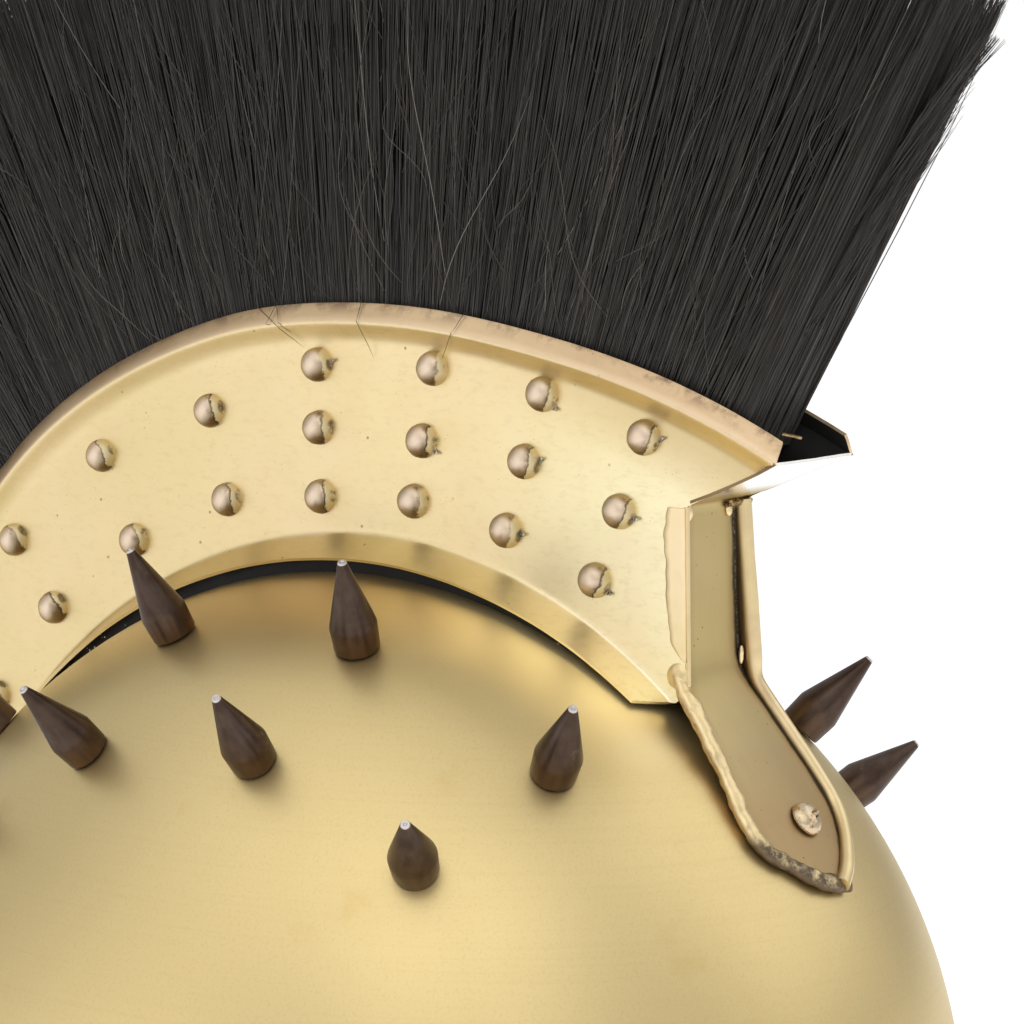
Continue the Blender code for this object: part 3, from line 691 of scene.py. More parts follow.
def root_share():
    """Height of the prow's root on the plate's face, as a share of the way from crease to ridge."""
    root = FRONT_LINE[-2] - BOWL_CENTRE
    angle = atan2(-root.y, root.z)
    crease = foot_crease_radius(angle) + CREST_SHEET
    return (hypot(root.y, root.z) - crease) / (lip_radius(angle) - LIP_DEPTH - crease)


ROOT_SHARE = root_share()
PLATE_SHARES = (
    0.04, 0.14, 0.28, 0.42, 0.56, ROOT_SHARE - 0.022, ROOT_SHARE, ROOT_SHARE + 0.026, 0.82, 0.91, 0.97
)


def front_limit(point):
    """How far a point of a plate stands behind the front line, at its own height."""
    tip, root, bend = FRONT_LINE[0], FRONT_LINE[-2], FRONT_LINE[-1]
    side = abs(point.x) - CREST_FACE
    if side > 0.0001 and point.z < root.z - 0.010:
        return point.y - (bend.y + FOOT_SETBACK + FOOT_END_SLANT * side / FOOT_REACH)
    if point.z <= bend.z:
        return point.y - (bend.y + (bend.z - point.z) * CORNER_SLANT)
    if point.z <= root.z:
        share = (point.z - bend.z) / (root.z - bend.z)
        return point.y - (bend.y + (root.y - bend.y) * share)
    share = min((point.z - root.z) / (tip.z - root.z), 1.0)
    return point.y - (root.y + (tip.y - root.y) * share)


def front_angle(number):
    """Crest angle at which a row of the plate's section meets the front line."""
    low, high = radians(15.0), radians(50.0)
    for _ in range(40):
        middle = (low + high) / 2
        row = plate_section(middle)[number]
        if front_limit(crest_point(row.x, row.radius, middle)) > 0:
            low = middle
        else:
            high = middle
    return low


def lay_sheet(name, rows, outward):
    """A flat grid whose crossings are moved, one by one, to the points of the rows.

    Its faces are then turned the way of outward.
    """
    bpy.ops.mesh.primitive_grid_add(
        x_subdivisions=len(rows[0]) - 1, y_subdivisions=len(rows) - 1, size=0.1
    )
    sheet = name_piece(name)
    mesh = edit_mesh(sheet)
    mesh.verts.ensure_lookup_table()
    places = [point for row in rows for point in row]
    for vertex, point in zip(list(mesh.verts), places):
        vertex.select = True
        bpy.ops.transform.translate(value=point - vertex.co)
        vertex.select = False
    facing = sum((face.normal * face.calc_area() for face in mesh.faces), Vector())
    if facing.dot(outward) < 0:
        bpy.ops.mesh.select_all(action="SELECT")
        bpy.ops.mesh.flip_normals()
    bpy.ops.object.mode_set(mode="OBJECT")
    return sheet


def paint(piece, name, values):
    """Gives a mesh its own values, one for each vertex."""
    layer = piece.data.attributes.new(name, "FLOAT", "POINT")
    layer.data.foreach_set("value", values)


def satin_brass(name, colour, roughness):
    """Brushed sheet brass with patches, which each piece then tints in its own way."""
    brass = Finish(name, 1.0, roughness, colour)
    patches = brass.cloud(46.0, 4.0, 0.6)
    warm = brass.cloud(21.0, 2.0)
    for share, change in (
        (patches.from_to(0.40, 0.72) * 0.35, (0.93, 0.86, 0.72)),
        (warm.from_to(0.50, 0.72) * 0.45, (1.02, 0.97, 1.18)),
    ):
        brass.layer(share, tuple(c * s for c, s in zip(colour, change)))
    return brass, patches


plate_brass, patches = satin_brass("crest_satin_brass", (0.88, 0.72, 0.41), 0.34)
lip = plate_brass.own("lip")
foot = plate_brass.own("foot")
# The foot is tinted olive in blotchy patches: partly tarnish, partly a painted reflection of the brass
# bowl and plate.
olive_patches = plate_brass.cloud(55.0, 3.0).from_to(0.40, 0.62)
plate_brass.layer(foot.from_to(0.2, 1.0) * (0.55 + 0.30 * olive_patches), (0.66, 0.54, 0.25))
# Painted shade: the lower slope of the lip, which faces down, is painted a darker olive.
lip_underside_painted_shade = lip.from_to(0.1, 0.35) * lip.from_to(0.72, 0.5)
plate_brass.layer(lip_underside_painted_shade * 0.60, (0.80, 0.67, 0.36))
# Painted shade: each plate is painted darker towards the rear.
plate_brass.layer(plate_brass.axis("Y").from_to(-0.040, 0.030) * 0.8, (0.77, 0.62, 0.33))
plate_brass.layer(lip.from_to(0.6, 1.0) * 0.85, (0.66, 0.47, 0.285))
# A light pinkish line along the lip's apex: partly brass rubbed bright, partly painted highlight.
plate_brass.layer(lip.from_to(0.55, 0.80) * lip.from_to(1.10, 0.85) * 0.6, (0.84, 0.64, 0.44))
lip_tarnish = plate_brass.cloud(60.0, 4.0, 0.7)
plate_brass.layer(lip.from_to(0.8, 1.3) * lip_tarnish.from_to(0.48, 0.70) * 0.45, (0.52, 0.36, 0.21))
rear_lip = plate_brass.axis("Y").from_to(-0.030, 0.020)
plate_brass.layer(lip.from_to(0.9, 1.7) * rear_lip * 0.85, (0.36, 0.22, 0.10))
smudge = plate_brass.cloud(130.0, 5.0, 0.65)
plate_brass.layer(lip.from_to(1.1, 1.8) * smudge.from_to(0.46, 0.58) * 0.80, (0.24, 0.15, 0.10))
# Painted light and shadow towards the front: the lower part of each plate is painted lighter, and a
# band under the lip is painted darker as the lip's shadow.
front_part = plate_brass.axis("Y").from_to(-0.062, -0.115)
rise = plate_brass.own("rise")
below_lip = 1.0 - lip.from_to(0.0, 0.1)
painted_shadow_under_lip = front_part * rise.from_to(0.72, 0.95) * lip.from_to(0.5, 0.1)
plate_brass.layer(front_part * rise.from_to(0.95, 0.65) * below_lip, (1.0, 0.91, 0.60))
plate_brass.layer(painted_shadow_under_lip * 0.6, (0.62, 0.49, 0.24))
rosy = plate_brass.cloud(28.0, 3.0).from_to(0.50, 0.68)
plate_brass.layer(rosy * 0.30, (0.90, 0.70, 0.46))
rubbing = plate_brass.cloud(1.0, 4.0, 0.7, (500.0, 260.0, 700.0))
plate_brass.layer(rubbing.from_to(0.50, 0.75) * 0.30, (0.62, 0.48, 0.24))
fine_dirt = plate_brass.specks(900.0, 0.15) * plate_brass.cloud(120.0, 3.0).from_to(0.54, 0.62)
plate_brass.layer(fine_dirt * 0.55, (0.36, 0.26, 0.13))
pits = plate_brass.specks(260.0, 0.11) * plate_brass.cloud(70.0, 2.0).from_to(0.56, 0.62)
plate_brass.layer(pits * 0.7, (0.20, 0.13, 0.06))
brushing = plate_brass.cloud(1.0, 3.0, 0.6, (300.0, 24.0, 700.0))
cross_brushing = plate_brass.cloud(1.0, 2.0, 0.6, (300.0, 800.0, 30.0))
hairlines = plate_brass.scratches((0.9, 0.2, 0.4), 1900.0, 0.27)
plate_brass.look(
    0.30 + 0.10 * brushing + 0.08 * patches + 0.06 * lip.from_to(0.6, 1.5) - 0.05 * hairlines
)
plate_brass.relief(brushing * 0.3 + cross_brushing * 0.2 - hairlines * 0.4, 0.00004)

# Blackened, and near black also as painted shade: the inside of the box lies in shadow.
inside_black_and_shade = Finish("blackened_and_shaded_inside", 0.0, 0.75, (0.010, 0.009, 0.008))
inside_black_and_shade.look(0.62 + 0.25 * inside_black_and_shade.cloud(120.0, 3.0))
inside_black_and_shade.relief(inside_black_and_shade.cloud(400.0, 4.0), 0.00008)


def make_plate(name, side):
    """One side plate: a grid along the crest, given its thickness inwards."""
    count = len(plate_section(0.0))
    fronts = [front_angle(number) for number in range(count)]
    back_stations = CREST_STATIONS - FRONT_STATIONS
    rows = []
    for station in range(CREST_STATIONS + 1):
        row = []
        for number in range(count):
            if station <= back_stations:
                share = station / back_stations
                angle = CREST_REAR_ANGLE + (FRONT_STATION_START - CREST_REAR_ANGLE) * share
            else:
                share = (station - back_stations) / FRONT_STATIONS
                angle = FRONT_STATION_START + (fronts[number] - FRONT_STATION_START) * share
            point = plate_section(angle)[number]
            row.append(crest_point(side * point.x, point.radius, angle))
        rows.append(row)
    plate = lay_sheet(name, rows, Vector((side, 0.0, 0.0)))
    section = plate_section(0.0)
    paint(plate, "foot", [point.foot for point in section] * len(rows))
    paint(plate, "lip", [point.lip for point in section] * len(rows))
    crease = foot_crease_radius(0.0) + CREST_SHEET
    ridge = lip_radius(0.0) - LIP_DEPTH
    rises = [(point.radius - crease) / (ridge - crease) for point in section]
    paint(plate, "rise", rises * len(rows))
    refine(plate)
    uneven(plate, size=0.020, depth=PLATE_WOBBLE)
    plate.data.materials.append(plate_brass.material)
    plate.data.materials.append(inside_black_and_shade.material)
    thicken(plate, PLATE_SHEET, use_even_offset=True, material_offset=1)
    # Only the inside of the box gets the near-black blackening and painted shade, not the underside of
    # the foot
    edit_mesh(plate)
    select_faces(
        plate, lambda centre: abs(centre.x) > CREST_FACE and height_over_bowl(centre) < FOOT_HIGHEST
    )
    plate.active_material_index = 0
    bpy.ops.object.material_slot_assign()
    bpy.ops.object.mode_set(mode="OBJECT")
    close_mesh(plate, angle=50)
    return plate


for side_name, side in SIDES:
    plate = make_plate(f"crest_plate_{side_name}", side)
    fit_to_helmet(plate, None, "crest_brass", *(("crest_box",) if side < 0 else ()))

# Packing under the feet
# A strip of black cloth is tucked between each foot and the bowl, all along the crest. It shows as a
# dark band in the gap, with a few pale bits of lint on it. Its near-black tone also stands in, as
# painted shade, for the shade in the gap.
PACKING_SETBACK = 0.0024
PACKING_SHEET = 0.0005
PACKING_FOLD = 0.0007
PACKING_STATIONS = 70
PACKING_END_ANGLE = radians(33.0)
PACKING_TOP_SHARE = 0.28

# Black cloth, and near black also as painted shade for the gap under the foot.
packing_black = Finish("black_packing", 0.0, 0.5, (0.012, 0.011, 0.011))
lint = packing_black.specks(700.0, 0.20) * packing_black.cloud(26.0, 1.0).from_to(0.56, 0.62)
packing_black.layer(lint, (0.60, 0.57, 0.52), over=(0.006, 0.006, 0.006))
packing_black.surface.inputs["Specular IOR Level"].default_value = 0.22
packing_black.look(0.36 + 0.30 * packing_black.cloud(160.0, 3.0))
packing_black.relief(packing_black.cloud(240.0, 4.0), 0.0003)
for side_name, side in SIDES:
    rows = []
    for i in range(PACKING_STATIONS + 1):
        angle = CREST_REAR_ANGLE + (PACKING_END_ANGLE - CREST_REAR_ANGLE) * i / PACKING_STATIONS
        x = CREST_FACE + FOOT_REACH - PACKING_SETBACK
        edge = foot_edge_radius(angle)
        crease = foot_crease_radius(angle) + CREST_SHEET
        high = edge + (crease - edge) * PACKING_TOP_SHARE - PLATE_SHEET
        low = bowl_radius(angle, x) - 0.0001
        row = []
        for share in (0.0, 0.35, 0.7, 1.0):
            fold = noise.noise(Vector((angle * 26, share * 1.5, side))) * PACKING_FOLD * share
            row.append(crest_point(side * (x + fold), low + (high - low) * share, angle))
        rows.append(row)
    packing = lay_sheet(f"black_packing_{side_name}", rows, Vector((side, 0.0, 0.0)))
    refine(packing)
    thicken(packing, PACKING_SHEET)
    close_mesh(packing, angle=60)
    fit_to_helmet(packing, packing_black.material, "bristle")

# Studs
# Domes of thin brass, pressed from behind and planished. The sheet has torn a little on the front
# side of many, which shows as a wavy crack, and here and there as a grey flake that stands out.
STUD_RADIUS = 0.0038
STUD_SIDES = 28
STUD_PROFILE = (
    SpikeRow(0.00380, -0.0005),
    SpikeRow(0.00378, 0.0004),
    SpikeRow(0.00360, 0.0013),
    SpikeRow(0.00318, 0.0021),
    SpikeRow(0.00252, 0.0027),
    SpikeRow(0.00168, 0.0031),
    SpikeRow(0.00076, 0.0033),
)
StudRow = namedtuple("StudRow", "foot_degrees lip_degrees height_shares torn_numbers")
STUD_ROWS = (
    StudRow(-53.4, -53.0, (0.35, 0.81), ()),
    StudRow(-41.7, -41.2, (0.33, 0.85), ()),
    StudRow(-29.3, -29.1, (0.30, 0.81), ()),
    StudRow(-17.5, -16.9, (0.28, 0.75), ()),
    StudRow(-6.7, -5.7, (0.21, 0.56, 0.88), (2,)),
    StudRow(3.8, 5.1, (0.22, 0.53, 0.90), (1,)),
    StudRow(14.3, 14.9, (0.22, 0.57, 0.91), (0, 1, 2)),
    StudRow(24.9, 23.8, (0.21, 0.54, 0.89), (0, 1, 2)),
)
FLAKE_SIZE = 0.0020

stud_brass = Finish("stud_brass", 1.0, 0.36, (0.60, 0.45, 0.30))
ahead = stud_brass.own_axis("X") / STUD_RADIUS
rise = stud_brass.own_axis("Y") / STUD_RADIUS
wander = (stud_brass.cloud(330.0, 5.0, 0.7) - 0.5) * 0.9
each = (stud_brass.cloud(33.0, 0.0) - 0.5) * 0.7
from_crack = ahead - 0.70 - each * 0.35 - wander * 0.6 + rise * rise * 0.40
gape = 0.01 + 0.08 * stud_brass.cloud(210.0, 2.0)
shown = stud_brass.cloud(60.0, 0.0).from_to(0.40, 0.54)
crack = ((gape - from_crack.size()) * 14.0).from_to(0.0, 1.0) * shown
beyond = from_crack.from_to(0.0, 0.06)
smut = stud_brass.cloud(420.0, 4.0, 0.7).from_to(0.50, 0.62)
ragged = stud_brass.cloud(300.0, 4.0, 0.7).from_to(0.44, 0.56)
# Painted highlight and shade: each dome is painted light round a spot a little ahead of and above its
# middle and darker towards its rim, and its lower front side is painted darker still.
ahead_of_painted_highlight = ahead - 0.10
above_painted_highlight = rise - 0.10
from_painted_highlight = ahead_of_painted_highlight * ahead_of_painted_highlight + above_painted_highlight * above_painted_highlight
stud_brass.layer(from_painted_highlight.from_to(0.02, 0.75), (0.36, 0.265, 0.14), over=(0.82, 0.66, 0.50))
shaded_side = (ahead * 0.65 - rise * 0.75).from_to(0.15, 0.80)
stud_brass.layer(shaded_side * 0.85, (0.16, 0.105, 0.055))
behind_crack = from_crack.from_to(-0.34, -0.04) * from_crack.from_to(0.06, 0.0)
stud_brass.layer(behind_crack * smut * 0.6, (0.14, 0.09, 0.05))
stud_brass.layer(beyond * 0.9, (0.78, 0.67, 0.42))
stud_brass.layer(crack * 0.9, (0.045, 0.032, 0.022))
# Painted shade: a ragged dark line in the crease round the dome's front rim.
outer_rim = ahead.from_to(0.88, 0.94) * ragged
stud_brass.layer(outer_rim * 0.8, (0.10, 0.072, 0.048))
stud_brass.look(0.33 + 0.08 * stud_brass.cloud(500.0, 3.0) + 0.3 * crack + 0.20 * beyond)
stud_brass.relief(beyond * 0.5 - crack + stud_brass.cloud(700.0, 3.0) * 0.15, 0.00016)

flake_metal = Finish("torn_flake_metal", 1.0, 0.38, (0.50, 0.49, 0.47))
flake_dirt = flake_metal.cloud(900.0, 4.0).from_to(0.50, 0.66)
flake_metal.layer(flake_dirt, (0.16, 0.14, 0.12), over=(0.60, 0.58, 0.55))
flake_metal.look(0.30 + 0.2 * flake_metal.cloud(900.0, 3.0))


def make_stud():
    """One dome at the origin, open behind, where it is pressed out of the sheet."""
    stud = turned_piece("stud", STUD_PROFILE, STUD_SIDES)
    cap_open_ends()
    close_mesh(stud, angle=60)
    remember_own_place(stud)
    return stud


def make_flake():
    """One torn corner of sheet, curled away from the plate, at the front edge of a dome."""
    bpy.ops.mesh.primitive_circle_add(
        vertices=3, radius=FLAKE_SIZE * 0.55, fill_type="NGON", rotation=(0.0, 0.0, -pi / 2)
    )
    flake = name_piece("flake")
    bpy.ops.object.transform_apply()
    edit_mesh(flake)
    bpy.ops.mesh.select_all(action="SELECT")
    bpy.ops.mesh.subdivide(number_cuts=2)
    select_points(flake, lambda point: point.x > FLAKE_SIZE * 0.2)
    bpy.ops.transform.translate(value=(FLAKE_SIZE * 0.08, FLAKE_SIZE * 0.12, FLAKE_SIZE * 0.30))
    bpy.ops.mesh.select_all(action="SELECT")
    bpy.ops.transform.translate(value=(STUD_RADIUS + FLAKE_SIZE * 0.10, 0.0, FLAKE_SIZE * 0.10))
    bpy.ops.object.mode_set(mode="OBJECT")
    finish_with(flake, "SOLIDIFY", thickness=FLAKE_SIZE * 0.08, offset=0.0)
    close_mesh(flake)
    return flake


def stud_places():
    """Crest angle, radius and torn edge of every stud of a plate."""
    for row in STUD_ROWS:
        for number, share in enumerate(row.height_shares):
            angle = radians(row.foot_degrees + (row.lip_degrees - row.foot_degrees) * share)
            low = foot_crease_radius(angle)
            high = lip_radius(angle) - LIP_DEPTH
            yield angle, low + (high - low) * share, number in row.torn_numbers


pattern_stud = make_stud()
pattern_flake = make_flake()
for side_name, side in SIDES:
    studs = []
    flakes = []
    for number, (angle, radius, torn) in enumerate(stud_places()):
        # Dome axis outwards, its own X towards the front along the crest
        out = Vector((side, 0.0, 0.0))
        forward = Vector((0.0, -cos(angle), -sin(angle)))
        turn = Matrix((forward, out.cross(forward), out)).transposed().to_4x4()
        place = Matrix.Translation(crest_point(side * CREST_FACE, radius, angle)) @ turn
        studs.append(copy_of(pattern_stud, f"stud_{side_name}_{number}"))
        studs[-1].data.transform(place)
        if torn:
            flakes.append(copy_of(pattern_flake, f"flake_{side_name}_{number}"))
            swing = Matrix.Rotation(radians(-28 + 17 * (number % 4)), 4, "Z")
            flakes[-1].data.transform(place @ swing)
    for name, group, finish in (
        ("domed_studs", studs, stud_brass), ("torn_flakes", flakes, flake_metal)
    ):
        together = joined(group, f"{name}_{side_name}")
        uneven(together, size=0.0022, depth=0.00022)
        fit_to_helmet(together, finish.material, "crest_brass")
bpy.data.objects.remove(pattern_stud)
bpy.data.objects.remove(pattern_flake)

# Front strap and prow
# One bent strip of brass closes the front of the crest. Its top end is the floor of the prow, and
# its lower end lies down the bowl to a point. Its edges are folded round wire and soldered.
STRAP_SHEET = 0.0006
STRAP_FACE = 0.0010
STRAP_LIFT = 0.0006
STRAP_HALF_WIDTH = 0.0170
STRAP_FALL = radians(22.0)
STRAP_OVERHANG = 0.0003
STRAP_RECESS = 0.0003
PROW_PROUD = 0.0001
GROOVE_AT_ROOT = 0.0056
GROOVE_AT_BEND = 0.0038
GROOVE_ON_BOWL = 0.0036
WIRE_RADIUS = 0.0017
WIRE_SEAT = 0.0013
WIRE_TOP_RADIUS = 0.0021
WIRE_FORWARD = -0.0003
WIRE_SPLAY = 0.0018
WIRE_BEND_FORWARD = 0.0014
SLIM_WIRE_RADIUS = 0.0006
SEAM_WITHIN = 0.00001
StrapRow = namedtuple("StrapRow", "fall_share near_share far_share lift_share")
STRAP_ROWS = (
    StrapRow(0.00, 0.73, 0.76, 1.00),
    StrapRow(0.14, 0.79, 0.86, 0.62),
    StrapRow(0.32, 0.88, 0.92, 0.30),
    StrapRow(0.50, 0.96, 0.97, 0.12),
    StrapRow(0.60, 1.02, 0.98, 0.04),
    StrapRow(0.66, 1.05, 0.95, 0.00),
    StrapRow(0.76, 1.00, 0.80, 0.00),
    StrapRow(0.87, 0.66, 0.52, 0.00),
    StrapRow(0.955, 0.36, 0.27, 0.00),
    StrapRow(1.00, 0.03, 0.10, 0.00),
)
STRAP_STATIONS = (
    0.04, 0.09, 0.14, 0.22, 0.30, 0.38, 0.46, 0.54, 0.60, 0.65, 0.70, 0.75, 0.80, 0.85, 0.90, 0.95, 0.99
)
STRAP_ACROSS = (-1.0, -0.97, -0.85, -0.6, -0.3, 0.0, 0.3, 0.6, 0.85, 0.97, 1.0)
NO_GROOVE = -0.004


def strap_place(share):
    """Half widths on the wearer's right and left and lift of the underside, down the fall."""
    falls = [row.fall_share for row in STRAP_ROWS]
    near, far, lift = (
        float(np.interp(share, falls, [row[column] for row in STRAP_ROWS])) for column in (1, 2, 3)
    )
    height = STRAP_LIFT + (BEND_LIFT - STRAP_LIFT) * lift
    return STRAP_HALF_WIDTH * near, STRAP_HALF_WIDTH * far, height


def strap_point(x, share, bend_angle, direction, above):
    """Point on the part of a strap that lies down the bowl."""
    angle = bend_angle + direction * STRAP_FALL * share
    lift = strap_place(share)[2]
    return crest_point(x, bowl_radius(angle, x) + lift + above, angle)


def make_strap(name, upper_rows, bend_angle, direction):
    """Sheet of a strap, from rows of its upper part and then down the bowl to its point.

    Its groove value grows by 1 for each millimetre past the start of the groove beside the wire.
    """
    rows = []
    groove = []
    joint = []
    for point, half_width, groove_reach in upper_rows:
        rows.append([point + Vector((half_width * share, 0.0, 0.0)) for share in STRAP_ACROSS])
        groove += [
            (half_width * share - half_width + groove_reach) * 1000 for share in STRAP_ACROSS
        ]
        joint += [1.0 if groove_reach == NO_GROOVE else 0.0] * len(STRAP_ACROSS)
    for share in STRAP_STATIONS:
        near, far, _ = strap_place(share)
        reach = GROOVE_AT_BEND + (GROOVE_ON_BOWL - GROOVE_AT_BEND) * min(share / 0.25, 1.0)
        places = [across * (far if across > 0 else near) for across in STRAP_ACROSS]
        rows.append([strap_point(x, share, bend_angle, direction, STRAP_FACE) for x in places])
        groove += [(x - far + reach) * 1000 for x in places]
        joint += [0.0] * len(STRAP_ACROSS)
    strap = lay_sheet(name, rows, Vector((0.0, -direction, 0.3)))
    paint(strap, "edge", [abs(share) for share in STRAP_ACROSS] * len(rows))
    paint(strap, "groove", groove)
    paint(strap, "joint", joint)
    refine(strap)
    uneven(strap, size=0.012, depth=0.0003)
    thicken(strap, STRAP_SHEET, use_even_offset=True)
    close_mesh(strap, angle=50)
    return strap


def strap_finish():
    """Olive satin of a strap, with painted shade towards its edges and beside its wire, and polished
    under the prow, where it is painted near white as painted reflection.
    """
    brass, patches = satin_brass("strap_olive_brass", (0.56, 0.445, 0.21), 0.40)
    edge = brass.own("edge")
    groove = brass.own("groove")
    polish = brass.own("polish")
    stain = brass.cloud(140.0, 5.0, 0.7)
    slope = brass.axis("Z").from_to(0.141, 0.128)
    low_end = brass.axis("Z").from_to(0.130, 0.116)
    brass.layer(slope * 0.85, (0.50, 0.385, 0.205))
    brass.layer(low_end * 0.8, (0.44, 0.305, 0.155))
    # Painted shade towards both edges, and beside the wire: a ragged brown band, then a near-black
    # trough and a dark brown strip against the wire.
    brass.layer(edge.from_to(0.70, 0.95) * 0.35, (0.34, 0.24, 0.11))
    ragged = groove + (stain - 0.5) * 2.0
    brass.layer(ragged.from_to(-2.6, 0.2) * 0.55, (0.32, 0.235, 0.13))
    painted_shade_trough = ragged.from_to(-0.4, 0.5) * groove.from_to(3.0, 2.2)
    brass.layer(painted_shade_trough * 0.93, (0.036, 0.032, 0.030))
    painted_shade_by_wire = groove.from_to(2.2, 3.0)
    brass.layer(painted_shade_by_wire, (0.16, 0.115, 0.07))
    on_box = brass.axis("Z").from_to(0.140, 0.144)
    solder_line = (groove - 1.1).size().from_to(0.5, 0.2)
    solder_line = solder_line * brass.cloud(1500.0, 2.0).from_to(0.50, 0.58)
    brass.layer(solder_line * on_box * 0.6, (0.30, 0.29, 0.27))
    joint = edge.from_to(0.965, 0.985) * brass.own("joint")
    brass.layer(brass.specks(420.0, 0.10) * patches.from_to(0.4, 0.6), (0.10, 0.06, 0.03))
    # Painted reflection: under the prow the strap is painted near white, for the white surround it
    # mirrors, where it is also polished.
    brass.layer(polish, (0.95, 0.93, 0.89))
    brass.layer(joint, (0.26, 0.17, 0.09))
    drag = brass.cloud(1.0, 3.0, 0.6, (1200.0, 60.0, 60.0))
    brass.look(0.36 + 0.12 * drag + 0.10 * stain - 0.26 * polish)
    brass.relief(drag * 0.4 + stain * 0.3, 0.00005)
    return brass


def eased(points, passes, step):
    """The same line in short steps, with its corners cut back, as wire and soft sheet bend."""
    fine = []
    for here, there in zip(points, points[1:]):
        count = max(int((there - here).length / step), 1)
        fine += [here.lerp(there, i / count) for i in range(count)]
    fine.append(points[-1])
    for _ in range(passes):
        middles = [here.lerp(there, 0.5) for here, there in zip(fine, fine[1:])]
        fine = [fine[0]] + middles + [fine[-1]]
    return fine


def roll_up(name, rows, angle):
    """A sheet whose rows each come back to their start: a tube, closed at both ends."""
    tube = lay_sheet(name, rows, Vector())
    edit_mesh(tube)
    bpy.ops.mesh.select_all(action="SELECT")
    bpy.ops.mesh.remove_doubles(threshold=SEAM_WITHIN)
    select_open_edges()
    bpy.ops.mesh.fill_holes(sides=0)
    bpy.ops.object.mode_set(mode="OBJECT")
    close_mesh(tube, angle)
    return tube


def lay_rod(name, centres, radii, sides=12, flatness=1.0):
    """Rod along a line of centres: a sheet rolled up round it, closed at both ends.

    Flatness is its height, away from the helmet's middle, over its width.
    """
    rows = []
    for i, centre in enumerate(centres):
        ahead = centres[min(i + 1, len(centres) - 1)]
        along = (ahead - centres[max(i - 1, 0)]).normalized()
        side_axis = (centre - BOWL_CENTRE).cross(along).normalized()
        up_axis = along.cross(side_axis)
        row = []
        for k in range(sides + 1):
            turn = 2 * pi * k / sides
            row.append(centre + (side_axis * cos(turn) + up_axis * sin(turn) * flatness) * radii[i])
        rows.append(row)
    return roll_up(name, rows, 60)


def wire_line(top, end, bend_angle, direction, side):
    """Centres of the wire along one edge of a strap, from its top down to its point."""
    edge = CREST_FACE - WIRE_TOP_RADIUS
    line = [
        top + Vector((side * edge, -direction * WIRE_FORWARD, 0.0)),
        end + Vector((side * (edge + WIRE_SPLAY), -direction * WIRE_BEND_FORWARD, 0.0)),
    ]
    for share in (0.14, 0.22, 0.3, 0.4, 0.5, 0.6, 0.66, 0.72, 0.78, 0.84, 0.90, 0.95):
        x = side * (strap_place(share)[1] - WIRE_RADIUS / 2)
        line.append(strap_point(x, share, bend_angle, direction, WIRE_SEAT))
    line.append(strap_point(0.0, 1.0, bend_angle, direction, WIRE_SEAT))
    return line


def outward_row(line, number, direction, recess=STRAP_RECESS):
    """A strap's outside at one point of its upper line, a little back from it."""
    ahead = line[min(number + 1, len(line) - 1)]
    along = (ahead - line[max(number - 1, 0)]).normalized()
    outward = Vector((0.0, -along.z, along.y))
    if outward.y * direction > 0:
        outward = -outward
    return line[number] - outward * recess


tip, root, bend = FRONT_LINE[0], FRONT_LINE[-2], FRONT_LINE[-1]
half = CREST_FACE + STRAP_OVERHANG
inner_half = CREST_FACE - PLATE_SHEET
prow_rows = [
    (point, width, NO_GROOVE)
    for point, width in zip(FRONT_LINE[:-2], (CREST_FACE + LIP_REACH, half + 0.0004, half, half))
]
prow_rows.append((root.lerp(tip, 0.05), half, NO_GROOVE))
front_rows = prow_rows + [
    (root, inner_half, NO_GROOVE), (root.lerp(bend, 0.03), inner_half, GROOVE_AT_ROOT)
]
front_rows += [
    (root.lerp(bend, share), inner_half, GROOVE_AT_ROOT + (GROOVE_AT_BEND - GROOVE_AT_ROOT) * share)
    for share in (0.2, 0.4, 0.6, 0.8, 0.93)
]
front_points = [row[0] for row in front_rows] + [bend]
front_rows = [
    (outward_row(front_points, number, 1, -PROW_PROUD if number < 4 else STRAP_RECESS), *row[1:])
    for number, row in enumerate(front_rows)
]
front_strap = make_strap("front_strap_and_prow", front_rows, FRONT_BEND_ANGLE, 1)
# Under the prow the strap is polished, and painted near white as a painted reflection of the white
# surround.
PROW_POLISH_START = 0.0035
PROW_POLISH_LENGTH = 0.0060
polish = []
for vertex in front_strap.data.vertices:
    ahead = (root.y - PROW_POLISH_START - vertex.co.y) / PROW_POLISH_LENGTH
    polish.append(clamp(ahead) if vertex.co.z > root.z else 0.0)
paint(front_strap, "polish", polish)
strap_brass = strap_finish()
fit_to_helmet(front_strap, strap_brass.material, "crest_brass")

wire_brass, patches = satin_brass("edge_wire_brass", (0.84, 0.68, 0.38), 0.34)
patina = wire_brass.own("patina")
ridge = wire_brass.own("ridge")
glints = wire_brass.cloud(430.0, 5.0, 0.7)
mottle = wire_brass.cloud(190.0, 4.0, 0.65)
wire_brass.layer(mottle.from_to(0.42, 0.66) * 0.35, (0.66, 0.49, 0.28))
# Painted shade: each wire is painted brown low on its sides, where it meets the sheet.
wire_brass.layer(wire_brass.own("brown") * 0.8, (0.42, 0.29, 0.145))
darkened = wire_brass.blend(mottle.from_to(0.38, 0.66), (0.110, 0.082, 0.062), (0.20, 0.150, 0.095))
worn = patina * (1.0 - ridge * glints.from_to(0.46, 0.60) * 0.8)
wire_brass.layer(worn, darkened)
wire_brass.look(0.34 + 0.08 * patches + 0.08 * worn)
wire_brass.relief(glints * worn * 0.8 + patches * 0.3 + mottle * 0.6, 0.00014)


def paint_rod(rod, **values):
    """Gives a rod the values that the wire's finish reads; those not named are 0."""
    for name in ("patina", "ridge", "brown"):
        paint(rod, name, values.get(name, [0.0] * len(rod.data.vertices)))


